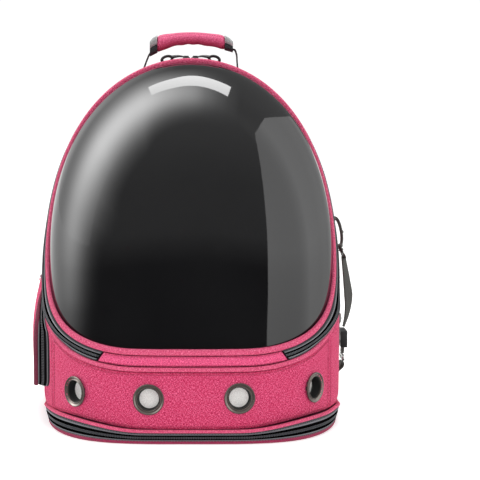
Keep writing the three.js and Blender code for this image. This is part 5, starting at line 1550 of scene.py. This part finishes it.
def world():
    """Pale studio: white behind the pack, grey in front of it, dark low down in front."""
    w = bpy.data.worlds.new("studio")
    w.use_nodes = True
    t = w.node_tree
    t.nodes.clear()
    out = t.nodes.new("ShaderNodeOutputWorld")
    bg = t.nodes.new("ShaderNodeBackground")
    sep = t.nodes.new("ShaderNodeSeparateXYZ")
    t.links.new(t.nodes.new("ShaderNodeTexCoord").outputs["Generated"], sep.inputs[0])
    rise = t.nodes.new("ShaderNodeValToRGB")
    rise.color_ramp.elements[0].position, rise.color_ramp.elements[1].position = 0.3, 0.98
    for place, v in ((0.47, 0.14), (0.56, 0.44), (0.75, 0.5)):
        rise.color_ramp.elements.new(place).color = (v, v, v, 1)
    for el, v in zip(rise.color_ramp.elements, (0.05, 0.08, 0.44, 0.52, 0.8)):
        el.color = (v, v, v, 1)
    half = t.nodes.new("ShaderNodeMapRange")
    half.inputs[1].default_value, half.inputs[2].default_value = -1.0, 1.0
    t.links.new(sep.outputs["Z"], half.inputs[0])
    t.links.new(half.outputs[0], rise.inputs[0])
    back = t.nodes.new("ShaderNodeMapRange")
    back.interpolation_type = "SMOOTHSTEP"
    back.inputs[1].default_value, back.inputs[2].default_value = -0.05, 0.75
    t.links.new(sep.outputs["Y"], back.inputs[0])
    wall = t.nodes.new("ShaderNodeValToRGB")
    for el, (place, v) in zip(wall.color_ramp.elements, ((0.57, 1.0), (0.70, 0.72))):
        el.position, el.color = place, (v, v, v, 1)
    t.links.new(half.outputs[0], wall.inputs[0])
    mix = t.nodes.new("ShaderNodeMix")
    mix.data_type = "RGBA"
    t.links.new(back.outputs[0], mix.inputs[0])
    t.links.new(rise.outputs[0], mix.inputs[6])
    t.links.new(wall.outputs[0], mix.inputs[7])
    seen = t.nodes.new("ShaderNodeMix")
    seen.data_type = "RGBA"
    seen.inputs[7].default_value = (1.0, 1.0, 1.0, 1.0)
    t.links.new(t.nodes.new("ShaderNodeLightPath").outputs["Is Camera Ray"], seen.inputs[0])
    t.links.new(mix.outputs[2], seen.inputs[6])
    t.links.new(seen.outputs[2], bg.inputs[0])
    bg.inputs[1].default_value = 1.05
    t.links.new(bg.outputs[0], out.inputs[0])
    bpy.context.scene.world = w


world()


def card(name, verts, rows, cols, shade_nodes, see_through=False):
    """A lit studio card, seen only in glossy reflections."""
    mat = bpy.data.materials.new(name)
    mat.use_nodes = True
    t = mat.node_tree
    t.nodes.clear()
    out, glow = t.nodes.new("ShaderNodeOutputMaterial"), t.nodes.new("ShaderNodeEmission")
    shade_nodes(t, glow)
    if see_through:
        both = t.nodes.new("ShaderNodeAddShader")
        t.links.new(glow.outputs[0], both.inputs[0])
        t.links.new(t.nodes.new("ShaderNodeBsdfTransparent").outputs[0], both.inputs[1])
        t.links.new(both.outputs[0], out.inputs[0])
    else:
        t.links.new(glow.outputs[0], out.inputs[0])
    me = bpy.data.meshes.new(name)
    f, _, _ = quads(rows, cols)
    me.from_pydata(np.asarray(verts, float).reshape(-1, 3).tolist(), [], [list(map(int, r)) for r in f])
    me.materials.append(mat)
    ob = bpy.data.objects.new(name, me)
    bpy.context.scene.collection.objects.link(ob)
    ob.visible_camera = ob.visible_diffuse = ob.visible_shadow = ob.visible_transmission = False
    ob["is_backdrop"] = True
    return ob


def node_math(t, op, a, b=0.0):
    n = t.nodes.new("ShaderNodeMath")
    n.operation = op
    for i, v in enumerate((a, b)):
        if isinstance(v, bpy.types.NodeSocket):
            t.links.new(v, n.inputs[i])
        else:
            n.inputs[i].default_value = v
    return n.outputs[0]


def node_ramp(t, fac, stops):
    n = t.nodes.new("ShaderNodeValToRGB")
    e = n.color_ramp.elements
    while len(e) < len(stops):
        e.new(0.5)
    for el, (place, v) in zip(e, stops):
        el.position, el.color = place, (v, v, v, 1.0)
    t.links.new(fac, n.inputs[0])
    return n.outputs[0]


def directions(az, el, radius, centre):
    """Points on a large sphere; azimuth from straight in front toward the right, in degrees."""
    a, e = np.radians(az), np.radians(el)
    return np.asarray(centre) + radius * np.stack([np.cos(e) * np.sin(a), -np.cos(e) * np.cos(a), np.sin(e)], -1)


def object_xyz(t):
    sep = t.nodes.new("ShaderNodeSeparateXYZ")
    t.links.new(t.nodes.new("ShaderNodeTexCoord").outputs["Object"], sep.inputs[0])
    return sep.outputs


# overhead strip
upper = [(-0.437, 0.530), (-0.173, 0.534), (0.020, 0.605), (0.190, 0.549), (0.414, 0.494)]
lower = [(-0.405, 0.211), (-0.157, 0.212), (0.017, 0.236), (0.165, 0.206), (0.381, 0.150)]


def strip_nodes(t, glow):
    far = node_math(t, "SUBTRACT", object_xyz(t)[1], 0.2)
    t.links.new(node_math(t, "SUBTRACT", 12.4, node_math(t, "MULTIPLY", far, 9.0)), glow.inputs[1])


card("strip_card", [[(x, y, 1.357) for x, y in spline(r, 17)] for r in (lower, upper)], 2, 17, strip_nodes)

# tall panel on the right, its near edge and top cut as straight lines
RADIUS = 5.0
EDGE = [ # height of the panel's near and far edge: elevation and azimuth, degrees
    (-30, 36.9), (-9.6, 36.9), (-7.1, 37.9), (-4.7, 38.6), (-1.4, 39.3), (2.6, 40.0), (7.5, 41.2), (12.4, 42.5), (18.0, 44.3),
    (23.3, 46.6), (27.9, 49.0), (34.9, 53.5), (41.9, 60.1), (46.4, 65.8), (50.7, 73.2), (52.9, 80.0),
]
HEAD = [(-30, 172.0), (12.8, 161.2), (26.3, 144.8), (36.6, 132.0), (41.9, 124.7), (47.1, 116.6), (49.2, 109.6), (50.9, 102.2), (52.0, 94.9), (52.9, 83.0)]
el = np.concatenate([np.linspace(-30, 45, 60), np.linspace(45.4, 52.9, 14)])
start, stop = (np.interp(el, *np.array(rows).T) for rows in (EDGE, HEAD))
az = start[:, None] + (stop - start)[:, None] * np.linspace(0, 1, 40)[None]


def panel_nodes(t, glow):
    x, y, z = object_xyz(t)
    ry = node_math(t, "MULTIPLY", y, 0.5 / RADIUS)
    level = node_ramp(t, node_math(t, "ADD", ry, 0.5), [(0.1, 1.0), (0.25, 0.9), (0.4, 0.81), (0.55, 0.85), (0.75, 0.41), (0.9, 0.165), (1.0, 0.11)])
    low = node_ramp(t, node_math(t, "ADD", node_math(t, "MULTIPLY", z, 0.5 / RADIUS), 0.5), [(0.40, 0.72), (0.54, 1.0)])
    t.links.new(node_math(t, "MULTIPLY", node_math(t, "MULTIPLY", level, low), 3.2), glow.inputs[1])


card("right_card", directions(az, el[:, None] + 0 * az, RADIUS, (0, 0, 0)) + [0.05, -0.12, 0.2], len(el), 40, panel_nodes)

# dim flag behind the panel, around the back
az, el = np.linspace(70, 290, 80)[None], np.linspace(4, 88, 30)[:, None]


def flag_nodes(t, glow):
    x, y, z = object_xyz(t)
    back = node_math(t, "ADD", node_math(t, "MULTIPLY", y, 0.5 / 5.2), 0.5)
    dim = node_ramp(t, back, [(0.45, 0.85), (0.55, 0.66), (0.7, 0.5), (0.8, 0.34), (0.9, 0.2), (1.0, 0.12)])
    left = node_ramp(t, node_math(t, "ADD", node_math(t, "MULTIPLY", x, -0.5 / 5.2), 0.5), [(0.53, 0.0), (0.7, 1.0)])
    lift = node_math(t, "MULTIPLY", left, node_math(t, "SUBTRACT", 0.8, dim))
    t.links.new(node_math(t, "ADD", dim, lift), glow.inputs[1])


card("flag_card", directions(az + 0 * el, el + 0 * az, 5.2, (0, 0, 0)) + [0.05, -0.12, 0.2], 30, 80, flag_nodes)

# soft lobe of light over the left
psi = np.radians(np.linspace(-24, 116, 60))[:, None]
across = np.linspace(-0.92, 0.97, 60)[None]
flat = np.sqrt(1 - across**2)
lobe = RADIUS * np.stack([-np.cos(psi) * flat, across + 0 * psi, np.sin(psi) * flat], -1)


LOBE = [ # turn from the left horizon up and over, degrees, and brightness
    (-16, 0.0), (-10, 0.0), (-8.8, 0.006), (-7.1, 0.06), (-4.7, 0.14), (0, 0.24), (8, 0.34), (16, 0.41), (24, 0.53), (32, 0.67), (40, 0.78), (52, 0.8),
    (66, 0.77), (72, 0.69), (78, 0.575), (84, 0.475), (90, 0.37), (96, 0.18), (102, 0.085), (108, 0.03), (115, 0.0),
]
FALL = [ # the same turn, and how fast the light falls off toward the front
    (-16, 6.7), (8, 6.7), (16, 4.9), (26, 4.8), (36, 5.8), (52, 6.7), (64, 7.4), (72, 10.3), (84, 12.8), (92, 14.9),
]


def lobe_nodes(t, glow):
    x, y, z = object_xyz(t)
    off = node_math(t, "SUBTRACT", node_math(t, "MULTIPLY", y, 1 / RADIUS), 0.085)
    turn = node_math(t, "ARCTAN2", z, node_math(t, "MULTIPLY", x, -1.0))
    place = node_math(t, "ADD", node_math(t, "MULTIPLY", turn, 180 / math.pi / 140), 24 / 140)
    stop = lambda deg: (deg + 24) / 140
    level = node_ramp(t, place, [(stop(a), v) for a, v in LOBE])
    front = node_math(t, "MULTIPLY", node_ramp(t, place, [(stop(a), v / 16) for a, v in FALL]), -16.0)
    ahead = node_math(t, "LESS_THAN", off, 0.0)
    sharp = node_math(t, "SUBTRACT", node_math(t, "MULTIPLY", ahead, node_math(t, "ADD", front, 7.7)), 7.7)
    bell = node_math(t, "EXPONENT", node_math(t, "MULTIPLY", node_math(t, "MULTIPLY", off, off), sharp))
    bell = node_math(t, "MAXIMUM", node_math(t, "MULTIPLY", node_math(t, "SUBTRACT", bell, 0.03), 1.03), 0.0)
    t.links.new(node_math(t, "MULTIPLY", node_math(t, "MULTIPLY", bell, level), 15.0), glow.inputs[1])


card("left_card", lobe + [-0.05, -0.1, 0.25], 60, 60, lobe_nodes, True)

for ob in (area("key", (0.0, -1.8, 1.6), (0, 0, 0.15), 1.4, 1.0, 2.1), area("fill", (0.5, -1.9, 0.7), (0, 0, 0.15), 1.0, 0.8, 1.1),
           area("top", (0.0, 0.05, 1.7), (0, 0.05, 0), 1.2, 1.2, 2.8)):
    ob.visible_glossy = False

# ------------------------------------------------------------------ sizes and hand-over
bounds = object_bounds()
plain = lambda b: [[float(v) for v in c] for c in b]
{"cad": plain(CAD_BOX), "visual": plain(bounds)}
